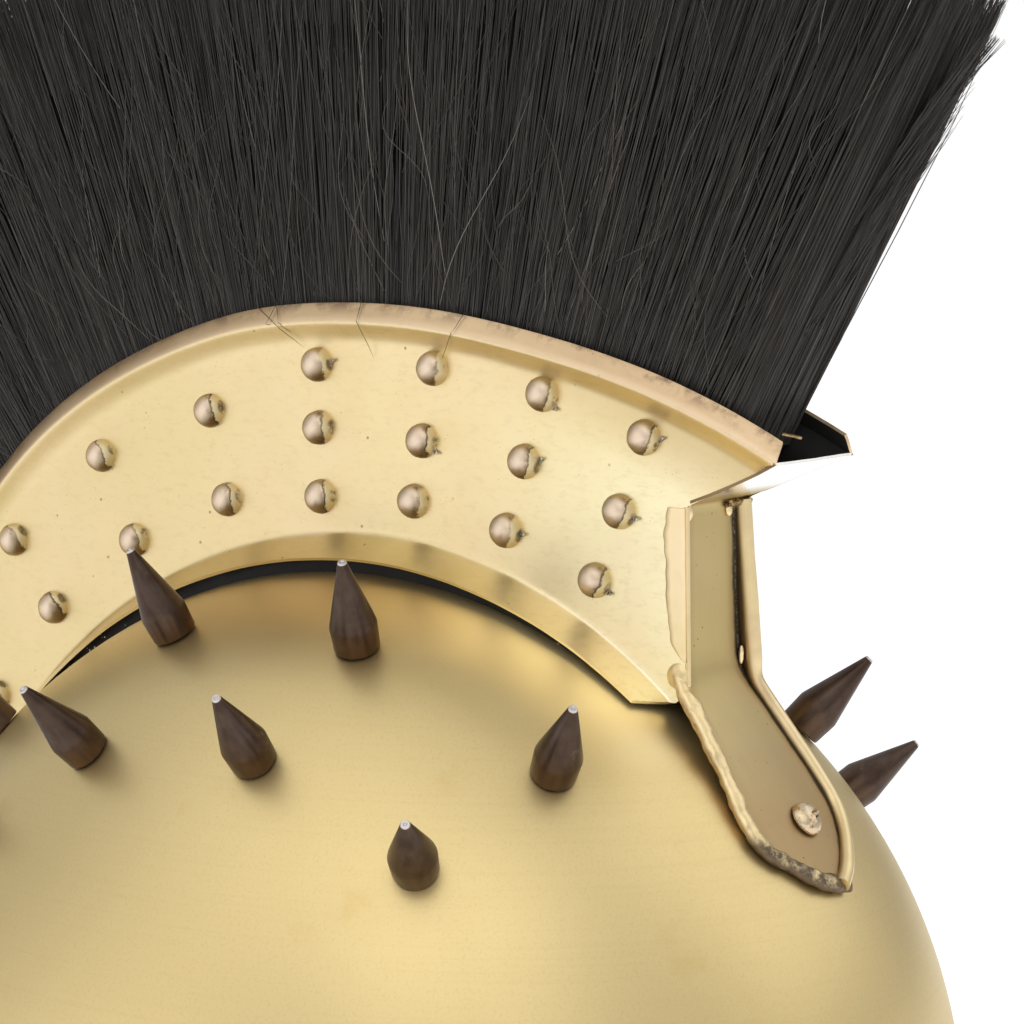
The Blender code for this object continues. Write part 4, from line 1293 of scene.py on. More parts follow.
def low_sides(rod, centres):
    """For each vertex of a rod, its share of painted shade: 0 on its ridge and 1 low down where it
    meets the sheet.
    """
    line = np.array(centres)
    along = np.gradient(line, axis=0)
    along /= np.linalg.norm(along, axis=1, keepdims=True)
    out = line - np.array(BOWL_CENTRE)
    up = out - along * (out * along).sum(axis=1, keepdims=True)
    up /= np.linalg.norm(up, axis=1, keepdims=True)
    places = np.array([vertex.co for vertex in rod.data.vertices])
    nearest = np.argmin(((places[:, None] - line[None]) ** 2).sum(axis=2), axis=1)
    offset = places - line[nearest]
    offset /= np.linalg.norm(offset, axis=1, keepdims=True) + 1e-9
    return np.clip((0.50 - (offset * up[nearest]).sum(axis=1)) / 0.4, 0.0, 1.0).tolist()


left_centres = eased(wire_line(root, bend, FRONT_BEND_ANGLE, 1, 1), 5, 0.0012)
upper_shares = [clamp((centre.z - bend.z) / 0.004) for centre in left_centres]
left_radii = [WIRE_RADIUS + (WIRE_TOP_RADIUS - WIRE_RADIUS) * share for share in upper_shares]
left_wire = lay_rod("left_edge_wire", left_centres, left_radii, 16)
uneven(left_wire, size=0.007, depth=0.00025)
paint_rod(left_wire, brown=low_sides(left_wire, left_centres))
fit_to_helmet(left_wire, wire_brass.material, "crest_brass")

slim_centres = [
    point + Vector((-(CREST_FACE - PLATE_SHEET / 2), -0.0002, 0.0))
    for point in eased([root, bend.lerp(root, 0.02)], 0, 0.003)
]
slim_wire = lay_rod("right_slim_edge", slim_centres, [SLIM_WIRE_RADIUS] * len(slim_centres), 10)
paint_rod(slim_wire)
fit_to_helmet(slim_wire, wire_brass.material, "crest_brass")


def make_lump(name, place, size):
    """A lump of solder or brass, longer one way than the other."""
    bpy.ops.mesh.primitive_ico_sphere_add(subdivisions=4, radius=1.0, location=place, scale=size)
    lump = name_piece(name)
    bpy.ops.object.transform_apply()
    return lump


FoldRow = namedtuple("FoldRow", "fall_share half_width")
FOLD_ROWS = (
    FoldRow(0.10, 0.0022),
    FoldRow(0.25, 0.0020),
    FoldRow(0.45, 0.0019),
    FoldRow(0.60, 0.0020),
    FoldRow(0.70, 0.0021),
    FoldRow(0.78, 0.0020),
    FoldRow(0.88, 0.0019),
    FoldRow(0.96, 0.0020),
)
FOLD_FLATNESS = 0.68
StartRow = namedtuple("StartRow", "step half_width")
FOLD_START = (
    StartRow(Vector((-0.0116, 0.0024, 0.0026)), 0.0014),
    StartRow(Vector((-0.0121, 0.0012, 0.0008)), 0.0020),
    StartRow(Vector((-0.0126, -0.0004, -0.0014)), 0.0023),
)
FOLD_ABOVE = 0.0009
FOLD_BLOB = Vector((-0.0117, 0.0021, 0.0026))
FOLD_BLOB_SIZE = (0.0011, 0.0030, 0.0031)
FOLD_SKIN = 0.00030
FOLD_APEX = 0.0020
FOLD_APEX_WIDTH = 0.0020
FOLD_TAIL = 0.0015
FOLD_TAIL_WIDTH = 0.0015
FOLD_SWELLING = 0.14
FOLD_RIDGE_FROM = 0.0021
FOLD_SHADE_BELOW = 0.146
line = [bend + row.step for row in FOLD_START]
for row in FOLD_ROWS:
    x = -strap_place(row.fall_share)[0]
    line.append(strap_point(x, row.fall_share, FRONT_BEND_ANGLE, 1, FOLD_ABOVE))
line.append(strap_point(FOLD_APEX, 1.0, FRONT_BEND_ANGLE, 1, FOLD_ABOVE))
line.append(line[-1] + (line[-1] - line[-2]).normalized() * FOLD_TAIL)
widths = [row.half_width for row in FOLD_START + FOLD_ROWS] + [FOLD_APEX_WIDTH, FOLD_TAIL_WIDTH]
right_centres = eased(line, 5, 0.0010)
steps = np.cumsum([0.0] + [(b - a).length for a, b in zip(line, line[1:])])
travel = np.cumsum([0.0] + [(b - a).length for a, b in zip(right_centres, right_centres[1:])])
swell = np.interp(travel / travel[-1], steps / steps[-1], widths)
swell = [
    width * (1.0 + FOLD_SWELLING * noise.noise(point * 330))
    for width, point in zip(swell, right_centres)
]
fold = lay_rod("right_hammered_fold", right_centres, swell, 20, FOLD_FLATNESS)
# The fold starts from a flat lump on the plate, and both are one skin
blob = make_lump("fold_start", bend + FOLD_BLOB, FOLD_BLOB_SIZE)
fold = joined((blob, fold), "right_hammered_fold")
finish_with(fold, "REMESH", mode="VOXEL", voxel_size=FOLD_SKIN)
finish_with(fold, "SMOOTH", iterations=5)
uneven(fold, size=0.0034, depth=0.0008)
close_mesh(fold, angle=60)
corner_height = strap_point(0.0, 0.66, FRONT_BEND_ANGLE, 1, 0.0).z
places = [vertex.co.copy() for vertex in fold.data.vertices]
# The fold has patina from the corner down and its ridge rubbed; it also gets painted shade low on its
# sides, stronger towards its lower end.
paint_rod(
    fold,
    patina=[clamp((corner_height - place.z) / 0.003) for place in places],
    ridge=[clamp((height_over_bowl(place) - FOLD_RIDGE_FROM) / 0.0006) for place in places],
    brown=[
        side_share * (0.25 + 0.75 * clamp((FOLD_SHADE_BELOW - place.z) / 0.008))
        for place, side_share in zip(places, low_sides(fold, right_centres))
    ],
)
fit_to_helmet(fold, wire_brass.material, "crest_brass")

# Solder at the front
# The strap's sides are lapped on to the plates and flooded with solder, whose rear edge is wavy.
# Beads of it stand at the root of the prow and beside the wire, with brown crumbs of flux.
LAP_WIDTH = 0.0047
LAP_SHEET = 0.0004
LAP_ROWS = 44
LAP_ACROSS = (0.0, 0.05, 0.35, 0.7, 0.9, 0.96, 1.0)
LAP_START_SHARE = 0.15
LAP_TAPER_SHARE = 0.12
LAP_SWELLING = 0.0001
LAP_FORWARD = 0.0002
LumpRow = namedtuple("LumpRow", "name place size depth")

solder_brass, patches = satin_brass("solder_brass", (0.92, 0.76, 0.46), 0.30)
dirt = solder_brass.cloud(300.0, 5.0, 0.7)
solder_brass.layer(dirt.from_to(0.66, 0.72) * 0.5, (0.40, 0.28, 0.14))
lap_patches = solder_brass.cloud(90.0, 2.0).from_to(0.36, 0.52)
lap_edge = solder_brass.own("edge").from_to(0.72, 0.95) * (0.4 + 0.6 * lap_patches)
solder_brass.layer(lap_edge * 0.85, (0.44, 0.33, 0.16))
solder_brass.look(0.28 + 0.14 * dirt)
solder_brass.relief(dirt * 0.3 + patches * 0.5, 0.00008)
crumb_brown = Finish("flux_brown_solder", 0.8, 0.45, (0.30, 0.19, 0.09))
dirt = crumb_brown.cloud(900.0, 4.0, 0.7)
crumb_brown.layer(dirt.from_to(0.40, 0.62), (0.08, 0.045, 0.025), over=(0.52, 0.36, 0.17))
crumb_brown.look(0.3 + 0.3 * dirt)
crumb_brown.relief(dirt, 0.0001)

for side_name, side in SIDES:
    rows = []
    edges = []
    low = bend.lerp(root, LAP_START_SHARE)
    for i in range(LAP_ROWS + 1):
        share = i / LAP_ROWS
        level = low.lerp(root, share * 0.99)
        wave = noise.noise(Vector((side * 3.1, 4.4, level.z * 130))) * 0.0011
        wave += noise.noise(Vector((side * 1.7, 0.4, level.z * 420))) * 0.0006
        taper = min(share / LAP_TAPER_SHARE, 1.0) ** 0.7
        width = (LAP_WIDTH + wave) * (0.03 + 0.97 * taper)
        row = []
        for across in LAP_ACROSS:
            lift = LAP_SHEET * (0.1 if across == 1.0 else 1.0)
            lift += 0.0 if across in (0.0, 1.0) else LAP_SWELLING
            y = level.y - LAP_FORWARD + width * across
            row.append(Vector((side * (CREST_FACE + lift), y, level.z)))
        rows.append(row)
        edges += LAP_ACROSS
    lap = lay_sheet(f"solder_lap_{side_name}", rows, Vector((side, 0.0, 0.0)))
    paint(lap, "edge", edges)
    refine(lap)
    uneven(lap, size=0.0040, depth=0.00022)
    thicken(lap, LAP_SHEET)
    close_mesh(lap, angle=60)
    fit_to_helmet(lap, solder_brass.material, "crest_brass")

LUMPS = (
    LumpRow("wire_drop", bend + Vector((0.0085, -0.0002, 0.0052)), (0.0006, 0.0006, 0.0020), 0.0002),
    LumpRow("solder_bead", root + Vector((0.0046, -0.0001, -0.0018)), (0.0011, 0.0006, 0.0014), 0.0005),
    LumpRow("root_bead", root + Vector((-0.0108, -0.0002, -0.0012)), (0.0010, 0.0006, 0.0018), 0.0005),
)
for row in LUMPS:
    lump = make_lump(row.name, row.place, row.size)
    uneven(lump, size=0.0018, depth=row.depth)
    close_mesh(lump, angle=60)
    fit_to_helmet(lump, solder_brass.material, "crest_brass")

CRUMB_COUNT = 18
CRUMB_SIZE = 0.0010
CRUMB_SCATTER = 0.0006
CRUMB_SEED = 1795798882
noise.seed_set(CRUMB_SEED)
crumbs = []
for number in range(CRUMB_COUNT):
    share = number / (CRUMB_COUNT - 1)
    jitter = noise.noise_vector(Vector((number * 1.7, 2.2, 0.3)))
    place = root + Vector((CREST_FACE * (0.32 + 0.66 * share), -0.0003, -0.0004))
    place += jitter * CRUMB_SCATTER
    size = CRUMB_SIZE * (0.6 + 0.8 * abs(jitter.x))
    bpy.ops.mesh.primitive_ico_sphere_add(subdivisions=3, radius=size, location=place)
    crumb = name_piece(f"crumb_{number}")
    edit_mesh(crumb)
    select_points(crumb, lambda point: point.z > size * 0.2)
    bpy.ops.transform.resize(value=(1.5, 1.0, 0.5), center_override=place)
    bpy.ops.object.mode_set(mode="OBJECT")
    bpy.ops.object.transform_apply()
    crumbs.append(crumb)
crumbs = joined(crumbs, "solder_crumbs")
uneven(crumbs, size=0.0006, depth=0.0005)
crumbs.data.shade_smooth()
fit_to_helmet(crumbs, crumb_brown.material, "crest_brass")

# A strip torn from the lip stands at its front end
STRIP_LINE = (
    Vector((-0.0116, -0.1390, 0.1952)),
    Vector((-0.0113, -0.1408, 0.1950)),
    Vector((-0.0106, -0.1428, 0.1946)),
)
STRIP_RADIUS = 0.0005
STRIP_SIDES = 10
STRIP_FLATNESS = 0.6
strip_centres = eased(list(STRIP_LINE), 2, 0.0004)
strip_radii = [STRIP_RADIUS] * len(strip_centres)
torn_strip = lay_rod("torn_lip_strip", strip_centres, strip_radii, STRIP_SIDES, STRIP_FLATNESS)
uneven(torn_strip, size=0.0006, depth=0.0005)
fit_to_helmet(torn_strip, crumb_brown.material, "crest_brass")

# Rear strap
# The same strip as in front, but plainer: it closes the rear of the crest and lies down the bowl.
# One length of brass wire is soldered all round its edge.
rear_top = crest_point(0.0, lip_radius(CREST_REAR_ANGLE) - LIP_DEPTH / 2, CREST_REAR_ANGLE)
rear_bend = crest_point(0.0, bowl_radius(REAR_BEND_ANGLE) + BEND_LIFT, CREST_REAR_ANGLE)
rear_points = [rear_top.lerp(rear_bend, share) for share in (0.0, 0.05, 0.25, 0.5, 0.75, 0.93, 1.0)]
rear_rows = [
    (outward_row(rear_points, number, -1), half, NO_GROOVE) for number in range(len(rear_points) - 1)
]
rear_strap = make_strap("rear_strap", rear_rows, REAR_BEND_ANGLE, -1)
paint(rear_strap, "polish", [0.0] * len(rear_strap.data.vertices))
fit_to_helmet(rear_strap, strap_brass.material, "crest_brass")
right_line = wire_line(rear_top, rear_bend, REAR_BEND_ANGLE, -1, -1)
left_line = wire_line(rear_top, rear_bend, REAR_BEND_ANGLE, -1, 1)
rear_centres = eased(right_line + left_line[-2::-1], 4, 0.0012)
rear_wire = lay_rod("rear_edge_wire", rear_centres, [WIRE_RADIUS] * len(rear_centres))
uneven(rear_wire, size=0.006, depth=0.0003)
paint_rod(rear_wire)
fit_to_helmet(rear_wire, wire_brass.material, "crest_brass")

# Rivets
# Two round-headed brass rivets hold the straps to the bowl. Each head was cut by a slipped chisel
# and hammered down, and is bright where it was struck.
RIVET_RADIUS = 0.0039
RIVET_SIDES = 36
RIVET_FALL_SHARE = 0.69
RIVET_SEAT = STRAP_LIFT + STRAP_FACE + 0.0002
RIVET_CUT_HALF = 0.00022
RIVET_CUT_DEPTH = 0.0011
RIVET_CUT_ALONG = Vector((0.95, 0.30, 0.0))
RIVET_CUT_ACROSS = Vector((-0.30, 0.95, 0.0))
RIVET_CUT_START = -0.0008
RIVET_BRIM = 0.0008
RIVET_STRUCK_FROM = 0.0010
RIVET_STRUCK_SHARE = 0.80
CutRow = namedtuple("CutRow", "offset depth_share")
RIVET_CUTS = (CutRow(0.0003, 0.7), CutRow(-0.0002, -0.15), CutRow(-0.0008, 1.0))
RIVET_PROFILE = (
    SpikeRow(0.0028, -BOWL_WALL - 0.0016),
    SpikeRow(0.0028, -BOWL_WALL - 0.0006),
    SpikeRow(0.0016, -BOWL_WALL - 0.00055),
    SpikeRow(0.0016, RIVET_SEAT),
    SpikeRow(RIVET_RADIUS * 0.97, RIVET_SEAT + 0.00005),
    SpikeRow(RIVET_RADIUS, RIVET_SEAT + 0.0003),
    SpikeRow(RIVET_RADIUS * 0.98, RIVET_SEAT + 0.0008),
    SpikeRow(RIVET_RADIUS * 0.89, RIVET_SEAT + 0.0016),
    SpikeRow(RIVET_RADIUS * 0.72, RIVET_SEAT + 0.0023),
    SpikeRow(RIVET_RADIUS * 0.48, RIVET_SEAT + 0.0028),
    SpikeRow(RIVET_RADIUS * 0.22, RIVET_SEAT + 0.0030),
)

rivet_brass = Finish("hammered_rivet_brass", 1.0, 0.22, (0.80, 0.63, 0.40))
struck = rivet_brass.cloud(520.0, 4.0, 0.65)
cut = rivet_brass.own("cut")
rivet_brass.layer(struck.from_to(0.54, 0.66), (0.68, 0.62, 0.50), over=(0.70, 0.55, 0.36))
rivet_brass.layer(struck.from_to(0.42, 0.34), (0.42, 0.24, 0.12))
# Painted shade deep in the chisel cuts.
rivet_brass.layer(cut * 0.85, (0.12, 0.075, 0.045))
rivet_brass.look(0.18 + 0.20 * struck + 0.25 * cut)
rivet_brass.relief(struck * 0.6 + rivet_brass.cloud(1400.0, 2.0) * 0.3, 0.00007)


def in_cut(point, offset):
    """Whether a point of the head lies in the cut at this offset."""
    if point.dot(RIVET_CUT_ALONG) <= RIVET_CUT_START:
        return False
    return abs(point.dot(RIVET_CUT_ACROSS) - offset) < RIVET_CUT_HALF


for name, angle in (
    ("front_rivet", FRONT_BEND_ANGLE + STRAP_FALL * RIVET_FALL_SHARE),
    ("rear_rivet", REAR_BEND_ANGLE - STRAP_FALL * RIVET_FALL_SHARE),
):
    rivet = turned_piece(f"hammered_{name}", RIVET_PROFILE, RIVET_SIDES)
    cap_open_ends()
    finish_with(rivet, "SUBSURF", levels=2, render_levels=2)
    edit_mesh(rivet)
    for row in RIVET_CUTS:
        select_points(
            rivet, lambda point: point.z > RIVET_SEAT + RIVET_BRIM and in_cut(point, row.offset)
        )
        bpy.ops.transform.translate(value=(0.0, 0.0, -RIVET_CUT_DEPTH * row.depth_share))
    select_points(
        rivet,
        lambda point: point.z > RIVET_SEAT + RIVET_BRIM
        and point.dot(RIVET_CUT_ACROSS) < -RIVET_STRUCK_FROM,
    )
    bpy.ops.transform.resize(
        value=(1.0, 1.0, RIVET_STRUCK_SHARE), center_override=(0.0, 0.0, RIVET_SEAT)
    )
    bpy.ops.object.mode_set(mode="OBJECT")
    cut_depths = []
    for vertex in rivet.data.vertices:
        depths = [row.depth_share for row in RIVET_CUTS if in_cut(vertex.co, row.offset)]
        cut_depths.append(max(depths + [0.0]) if vertex.co.z > RIVET_SEAT else 0.0)
    paint(rivet, "cut", cut_depths)
    rivet.data.transform(stand_on_bowl(0.0, angle))
    uneven(rivet, size=0.0016, depth=0.00014)
    close_mesh(rivet, angle=60)
    fit_to_helmet(rivet, rivet_brass.material, "rivet_brass", name)

# Plume
# A fan of black horsehair, bound between the plates. A near-black core fills the fan inside its outer
# hairs: it stands in for the inner hairs and, as painted shade, for the shade deep among them. The
# hairs stand radially, straight and close, and the tips are cut by hand; a few curl away or lie over
# the lip.
PLUME_REACH = 0.0985
PLUME_HALF_THICKNESS = 0.0130
PLUME_ROOT_HALF = 0.0107
PLUME_FRONT_ANGLE = radians(30.3)
PLUME_REAR_ANGLE = radians(-61.5)
PLUME_DEPTH_IN_BOX = 0.0080
PLUME_REACHES = (
    HeightRow(-61.5, 0.86),
    HeightRow(-30, 1.00),
    HeightRow(0, 1.005),
    HeightRow(20, 1.04),
    HeightRow(27, 1.04),
    HeightRow(30.3, 0.93),
)
CORE_STATIONS = 48
CORE_INSET = 0.010
CoreRow = namedtuple("CoreRow", "reach_share half_share")
CORE_ROWS = (
    CoreRow(-0.06, 0.80),
    CoreRow(0.10, 0.78),
    CoreRow(0.30, 0.84),
    CoreRow(0.60, 0.88),
    CoreRow(0.78, 0.70),
    CoreRow(0.84, 0.30),
)
HAIR_SEGMENTS = 4
HAIR_SIDES = 3
STRAY_SEGMENTS = 14
HAIR_RADIUS = 0.00011
HAIR_TAPER = 0.7
HAIR_SEED = 12
FRONT_LEAN_BACK = 0.020


def plume_reach(angle):
    return PLUME_REACH * smooth_value(PLUME_REACHES, angle)


hair_black = Finish("black_horsehair", 0.0, 0.42, (0.012, 0.011, 0.010))
shade = hair_black.own("shade")
hair_black.layer(shade.from_to(0.0, 0.85), (0.082, 0.073, 0.064), over=(0.023, 0.021, 0.019))
hair_black.layer(shade.from_to(0.92, 1.0), (0.24, 0.21, 0.18))
hair_black.look(0.34 + 0.20 * hair_black.cloud(60.0, 2.0))
hair_black.surface.inputs["Specular IOR Level"].default_value = 0.35

# Painted shade: a near-black core fills the fan inside the outer hairs.
rows = []
core_span = PLUME_FRONT_ANGLE - PLUME_REAR_ANGLE - 2 * CORE_INSET - FRONT_LEAN_BACK
for i in range(CORE_STATIONS + 1):
    share = i / CORE_STATIONS
    angle = PLUME_REAR_ANGLE + CORE_INSET + core_span * share
    reach = plume_reach(angle)
    mouth = lip_radius(angle)
    ring = [
        (row.half_share * PLUME_HALF_THICKNESS, mouth + reach * row.reach_share)
        for row in CORE_ROWS
    ]
    ring += [(-x, radius) for x, radius in reversed(ring)]
    ring.append(ring[0])
    rows.append([crest_point(x, radius, angle) for x, radius in ring])
shaded_core = roll_up("plume_shaded_core", rows, 40)
core_painted_shade = Finish("plume_core_painted_shade", 0.0, 0.9, (0.004, 0.004, 0.004))
core_painted_shade.look(0.8 + 0.15 * core_painted_shade.cloud(90.0, 2.0))
core_painted_shade.surface.inputs["Specular IOR Level"].default_value = 0.05
fit_to_helmet(shaded_core, core_painted_shade.material, "bristle", "plume")


def hair_pattern(segments):
    """Points and faces of one thin hair of length 1, which tapers to its tip."""
    heights = [number / segments for number in range(segments + 1)]
    profile = [SpikeRow(1.0 - HAIR_TAPER * height**4, height) for height in heights]
    hair = turned_piece("one_hair", profile, HAIR_SIDES)
    bpy.ops.object.mode_set(mode="OBJECT")
    points = np.array([vertex.co for vertex in hair.data.vertices])
    faces = np.array([list(face.vertices) for face in hair.data.polygons])
    bpy.data.objects.remove(hair)
    return points, faces


straight_hair = hair_pattern(HAIR_SEGMENTS)
curly_hair = hair_pattern(STRAY_SEGMENTS)
hair_random = np.random.default_rng(HAIR_SEED)


def table_line(function, angles):
    """A helmet curve for many angles at once."""
    stations = np.linspace(PLUME_REAR_ANGLE, PLUME_FRONT_ANGLE, 200)
    return np.interp(angles, stations, [function(station) for station in stations])


def fan_radius(angle, share):
    """Radius at a share of the plume's reach beyond the crest's lip, for many angles at once."""
    return table_line(lip_radius, angle) + table_line(plume_reach, angle) * share


def polar(x, radius, angle):
    """Points on the helmet from arrays of polar places."""
    y = BOWL_CENTRE.y - radius * np.sin(angle)
    z = BOWL_CENTRE.z + radius * np.cos(angle)
    return np.stack([x, y, z], axis=-1)


def across_hairs(along):
    """For each hair a way across it, at random."""
    way = np.cross(along, hair_random.normal(size=along.shape))
    return way / np.linalg.norm(way, axis=1, keepdims=True)


def lay_hairs(name, starts, ends, thickness, bow, shade, pattern=straight_hair):
    """Copies of the one hair from starts to ends, each bowed a little its own way."""
    hair_points, hair_faces = pattern
    count = len(starts)
    along = ends - starts
    length = np.linalg.norm(along, axis=1, keepdims=True)
    along = along / length
    side = across_hairs(along)
    up = np.cross(along, side)
    s = hair_points[:, 2][None, :, None]
    u = hair_points[:, 0][None, :, None] * thickness[:, None, None]
    v = hair_points[:, 1][None, :, None] * thickness[:, None, None]
    swing = bow[:, None, None] * across_hairs(along)[:, None, :]
    ripple = 0.35 * bow[:, None, None] * across_hairs(along)[:, None, :]
    middle = starts[:, None, :] + along[:, None, :] * (length[:, None] * s)
    middle = middle + swing * (s * (1 - s) * 2 + 0.3 * s * s) + ripple * np.sin(2 * pi * s)
    points = middle + side[:, None, :] * u + up[:, None, :] * v
    faces = (hair_faces[None] + (np.arange(count) * len(hair_points))[:, None, None]).reshape(-1, 4)
    mesh = bpy.data.meshes.new(name)
    mesh.from_pydata(points.reshape(-1, 3).tolist(), [], faces.tolist())
    layer = mesh.attributes.new("shade", "FLOAT", "POINT")
    layer.data.foreach_set("value", np.repeat(shade, len(hair_points)).astype(np.float32))
    mesh.shade_smooth()
    hairs = bpy.data.objects.new(name, mesh)
    bpy.context.scene.collection.objects.link(hairs)
    fit_to_helmet(hairs, hair_black.material, "bristle")
    return hairs


def hair_shades(count):
    """Mostly dark shades, and a few pale ones."""
    common = hair_random.beta(1.6, 3.0, count)
    return np.clip(common + 0.45 * (hair_random.random(count) > 0.97), 0, 0.95)


FACE_HAIRS = 7000
FACE_DEPTH = 0.0008
FACE_DEPTH_LIMIT = 0.0024
FACE_TIP_SCATTER = 0.010
FACE_CUT = 0.10
FACE_BOW = 0.0008
FACE_BOW_LIMIT = 0.002


def lay_face_hairs(name, side, low_angle, high_angle, count):
    """The outer layers of hair on one face of the fan."""
    angle = hair_random.uniform(low_angle, high_angle, count)
    depth = np.minimum(hair_random.exponential(FACE_DEPTH, count), FACE_DEPTH_LIMIT)
    start_radius = table_line(lip_radius, angle) - PLUME_DEPTH_IN_BOX
    clump = 0.006 * np.sin(angle * 95) * np.sin(angle * 41 + 1.3) + 0.003 * np.sin(angle * 260 + 0.4)
    tip_angle = angle + clump + hair_random.normal(0, FACE_TIP_SCATTER, count)
    tip_angle = np.clip(tip_angle, PLUME_REAR_ANGLE, PLUME_FRONT_ANGLE - FRONT_LEAN_BACK)
    cut = 1.0 - FACE_CUT * hair_random.beta(1.0, 2.6, count)
    end_radius = fan_radius(tip_angle, cut)
    starts = polar(side * (PLUME_ROOT_HALF - depth), start_radius, angle)
    fan = PLUME_HALF_THICKNESS - depth * 1.3 - hair_random.random(count) * 0.0012
    ends = polar(side * fan, end_radius, tip_angle)
    thickness = HAIR_RADIUS * hair_random.uniform(0.8, 1.35, count)
    bow = np.minimum(hair_random.exponential(FACE_BOW, count), FACE_BOW_LIMIT)
    return lay_hairs(name, starts, ends, thickness, bow, hair_shades(count))


middle_angle = (PLUME_FRONT_ANGLE + PLUME_REAR_ANGLE) / 2
for side_name, side in SIDES:
    lay_face_hairs(f"hairs_{side_name}_rear", side, PLUME_REAR_ANGLE, middle_angle, FACE_HAIRS // 2)
    lay_face_hairs(f"hairs_{side_name}_front", side, middle_angle, PLUME_FRONT_ANGLE, FACE_HAIRS // 2)

END_HAIRS = 1500
END_TIP_SCATTER = 0.012
for end_name, end_angle, inwards in (("front", PLUME_FRONT_ANGLE, -1), ("rear", PLUME_REAR_ANGLE, 1)):
    angle = end_angle + inwards * np.minimum(hair_random.exponential(0.010, END_HAIRS), 0.05)
    x = hair_random.uniform(-1, 1, END_HAIRS)
    tip_lean = FRONT_LEAN_BACK + np.abs(hair_random.normal(0, END_TIP_SCATTER, END_HAIRS))
    tip_angle = end_angle + inwards * tip_lean
    cut = 1.0 - 0.18 * hair_random.beta(1.0, 2.2, END_HAIRS)
    end_radius = fan_radius(tip_angle, cut)
    starts = polar(x * PLUME_ROOT_HALF, table_line(lip_radius, angle) - PLUME_DEPTH_IN_BOX, angle)
    ends = polar(x * PLUME_HALF_THICKNESS * 0.95, end_radius, tip_angle)
    thickness = HAIR_RADIUS * hair_random.uniform(0.8, 1.35, END_HAIRS)
    bow = np.minimum(hair_random.exponential(0.0006, END_HAIRS), 0.0014)
    lay_hairs(f"hairs_{end_name}_end", starts, ends, thickness, bow, hair_shades(END_HAIRS))

TIP_HAIRS = 5000
angle = hair_random.uniform(PLUME_REAR_ANGLE + 0.01, PLUME_FRONT_ANGLE - FRONT_LEAN_BACK, TIP_HAIRS)
x = hair_random.uniform(-0.9, 0.9, TIP_HAIRS)
start_radius = fan_radius(angle, 0.72)
cut = 1.0 - 0.10 * hair_random.beta(1.0, 2.2, TIP_HAIRS)
tip_angle = angle + hair_random.normal(0, 0.008, TIP_HAIRS)
tip_angle = np.clip(tip_angle, PLUME_REAR_ANGLE, PLUME_FRONT_ANGLE - FRONT_LEAN_BACK)
end_radius = fan_radius(angle, cut)
lay_hairs(
    "hairs_at_tips",
    polar(x * PLUME_HALF_THICKNESS * 0.9, start_radius, angle),
    polar(x * PLUME_HALF_THICKNESS * 0.9, end_radius, tip_angle),
    HAIR_RADIUS * hair_random.uniform(0.9, 1.4, TIP_HAIRS),
    hair_random.exponential(0.0006, TIP_HAIRS),
    hair_shades(TIP_HAIRS),
)

WISP_HAIRS = 320
wisp = hair_random.integers(0, 10, WISP_HAIRS)
start_share = 0.20 + 0.055 * wisp + 0.05 * hair_random.random(WISP_HAIRS)
end_share = np.minimum(start_share + 0.25 + 0.12 * hair_random.random(WISP_HAIRS), 0.98)
tip_angle = PLUME_FRONT_ANGLE - 0.004 + 0.0008 * wisp + hair_random.normal(0, 0.0026, WISP_HAIRS)
x = (hair_random.random(WISP_HAIRS) - 0.5) * 0.008 + 0.0011 * (wisp % 5 - 2)
front_lip, front_reach = lip_radius(PLUME_FRONT_ANGLE), plume_reach(PLUME_FRONT_ANGLE)
start_angle = PLUME_FRONT_ANGLE - 0.003 - FRONT_LEAN_BACK * start_share
lay_hairs(
    "hairs_front_wisps",
    polar(x, front_lip + front_reach * start_share, start_angle),
    polar(x, front_lip + front_reach * end_share, tip_angle),
    HAIR_RADIUS * hair_random.uniform(0.8, 1.2, WISP_HAIRS),
    np.minimum(hair_random.exponential(0.0005, WISP_HAIRS), 0.0012),
    hair_shades(WISP_HAIRS),
)

STRAY_HAIRS = 420
STRAY_LIFT = 0.0004
for side_name, side in SIDES:
    angle = hair_random.uniform(PLUME_REAR_ANGLE + 0.05, PLUME_FRONT_ANGLE - 0.05, STRAY_HAIRS)
    start_radius = table_line(lip_radius, angle) - 0.002
    start_radius += table_line(plume_reach, angle) * 0.6 * hair_random.random(STRAY_HAIRS) ** 2
    tip_angle = angle + hair_random.normal(0, 0.05, STRAY_HAIRS)
    tip_angle = np.clip(tip_angle, PLUME_REAR_ANGLE + 0.02, PLUME_FRONT_ANGLE - 0.02)
    end_radius = start_radius + 0.015 + 0.060 * hair_random.random(STRAY_HAIRS)
    end_radius = np.minimum(end_radius, fan_radius(tip_angle, 0.95))
    above_lip = start_radius - table_line(lip_radius, angle)
    across = np.interp(above_lip, [0.0, PLUME_REACH], [PLUME_ROOT_HALF, PLUME_HALF_THICKNESS])
    tip_across = np.full(STRAY_HAIRS, PLUME_HALF_THICKNESS + STRAY_LIFT)
    lay_hairs(
        f"stray_hairs_{side_name}",
        polar(side * across, start_radius, angle),
        polar(side * tip_across, end_radius, tip_angle),
        HAIR_RADIUS * hair_random.uniform(0.6, 0.95, STRAY_HAIRS),
        hair_random.uniform(0.001, 0.007, STRAY_HAIRS),
        hair_random.uniform(0.60, 1.0, STRAY_HAIRS),
        curly_hair,
    )

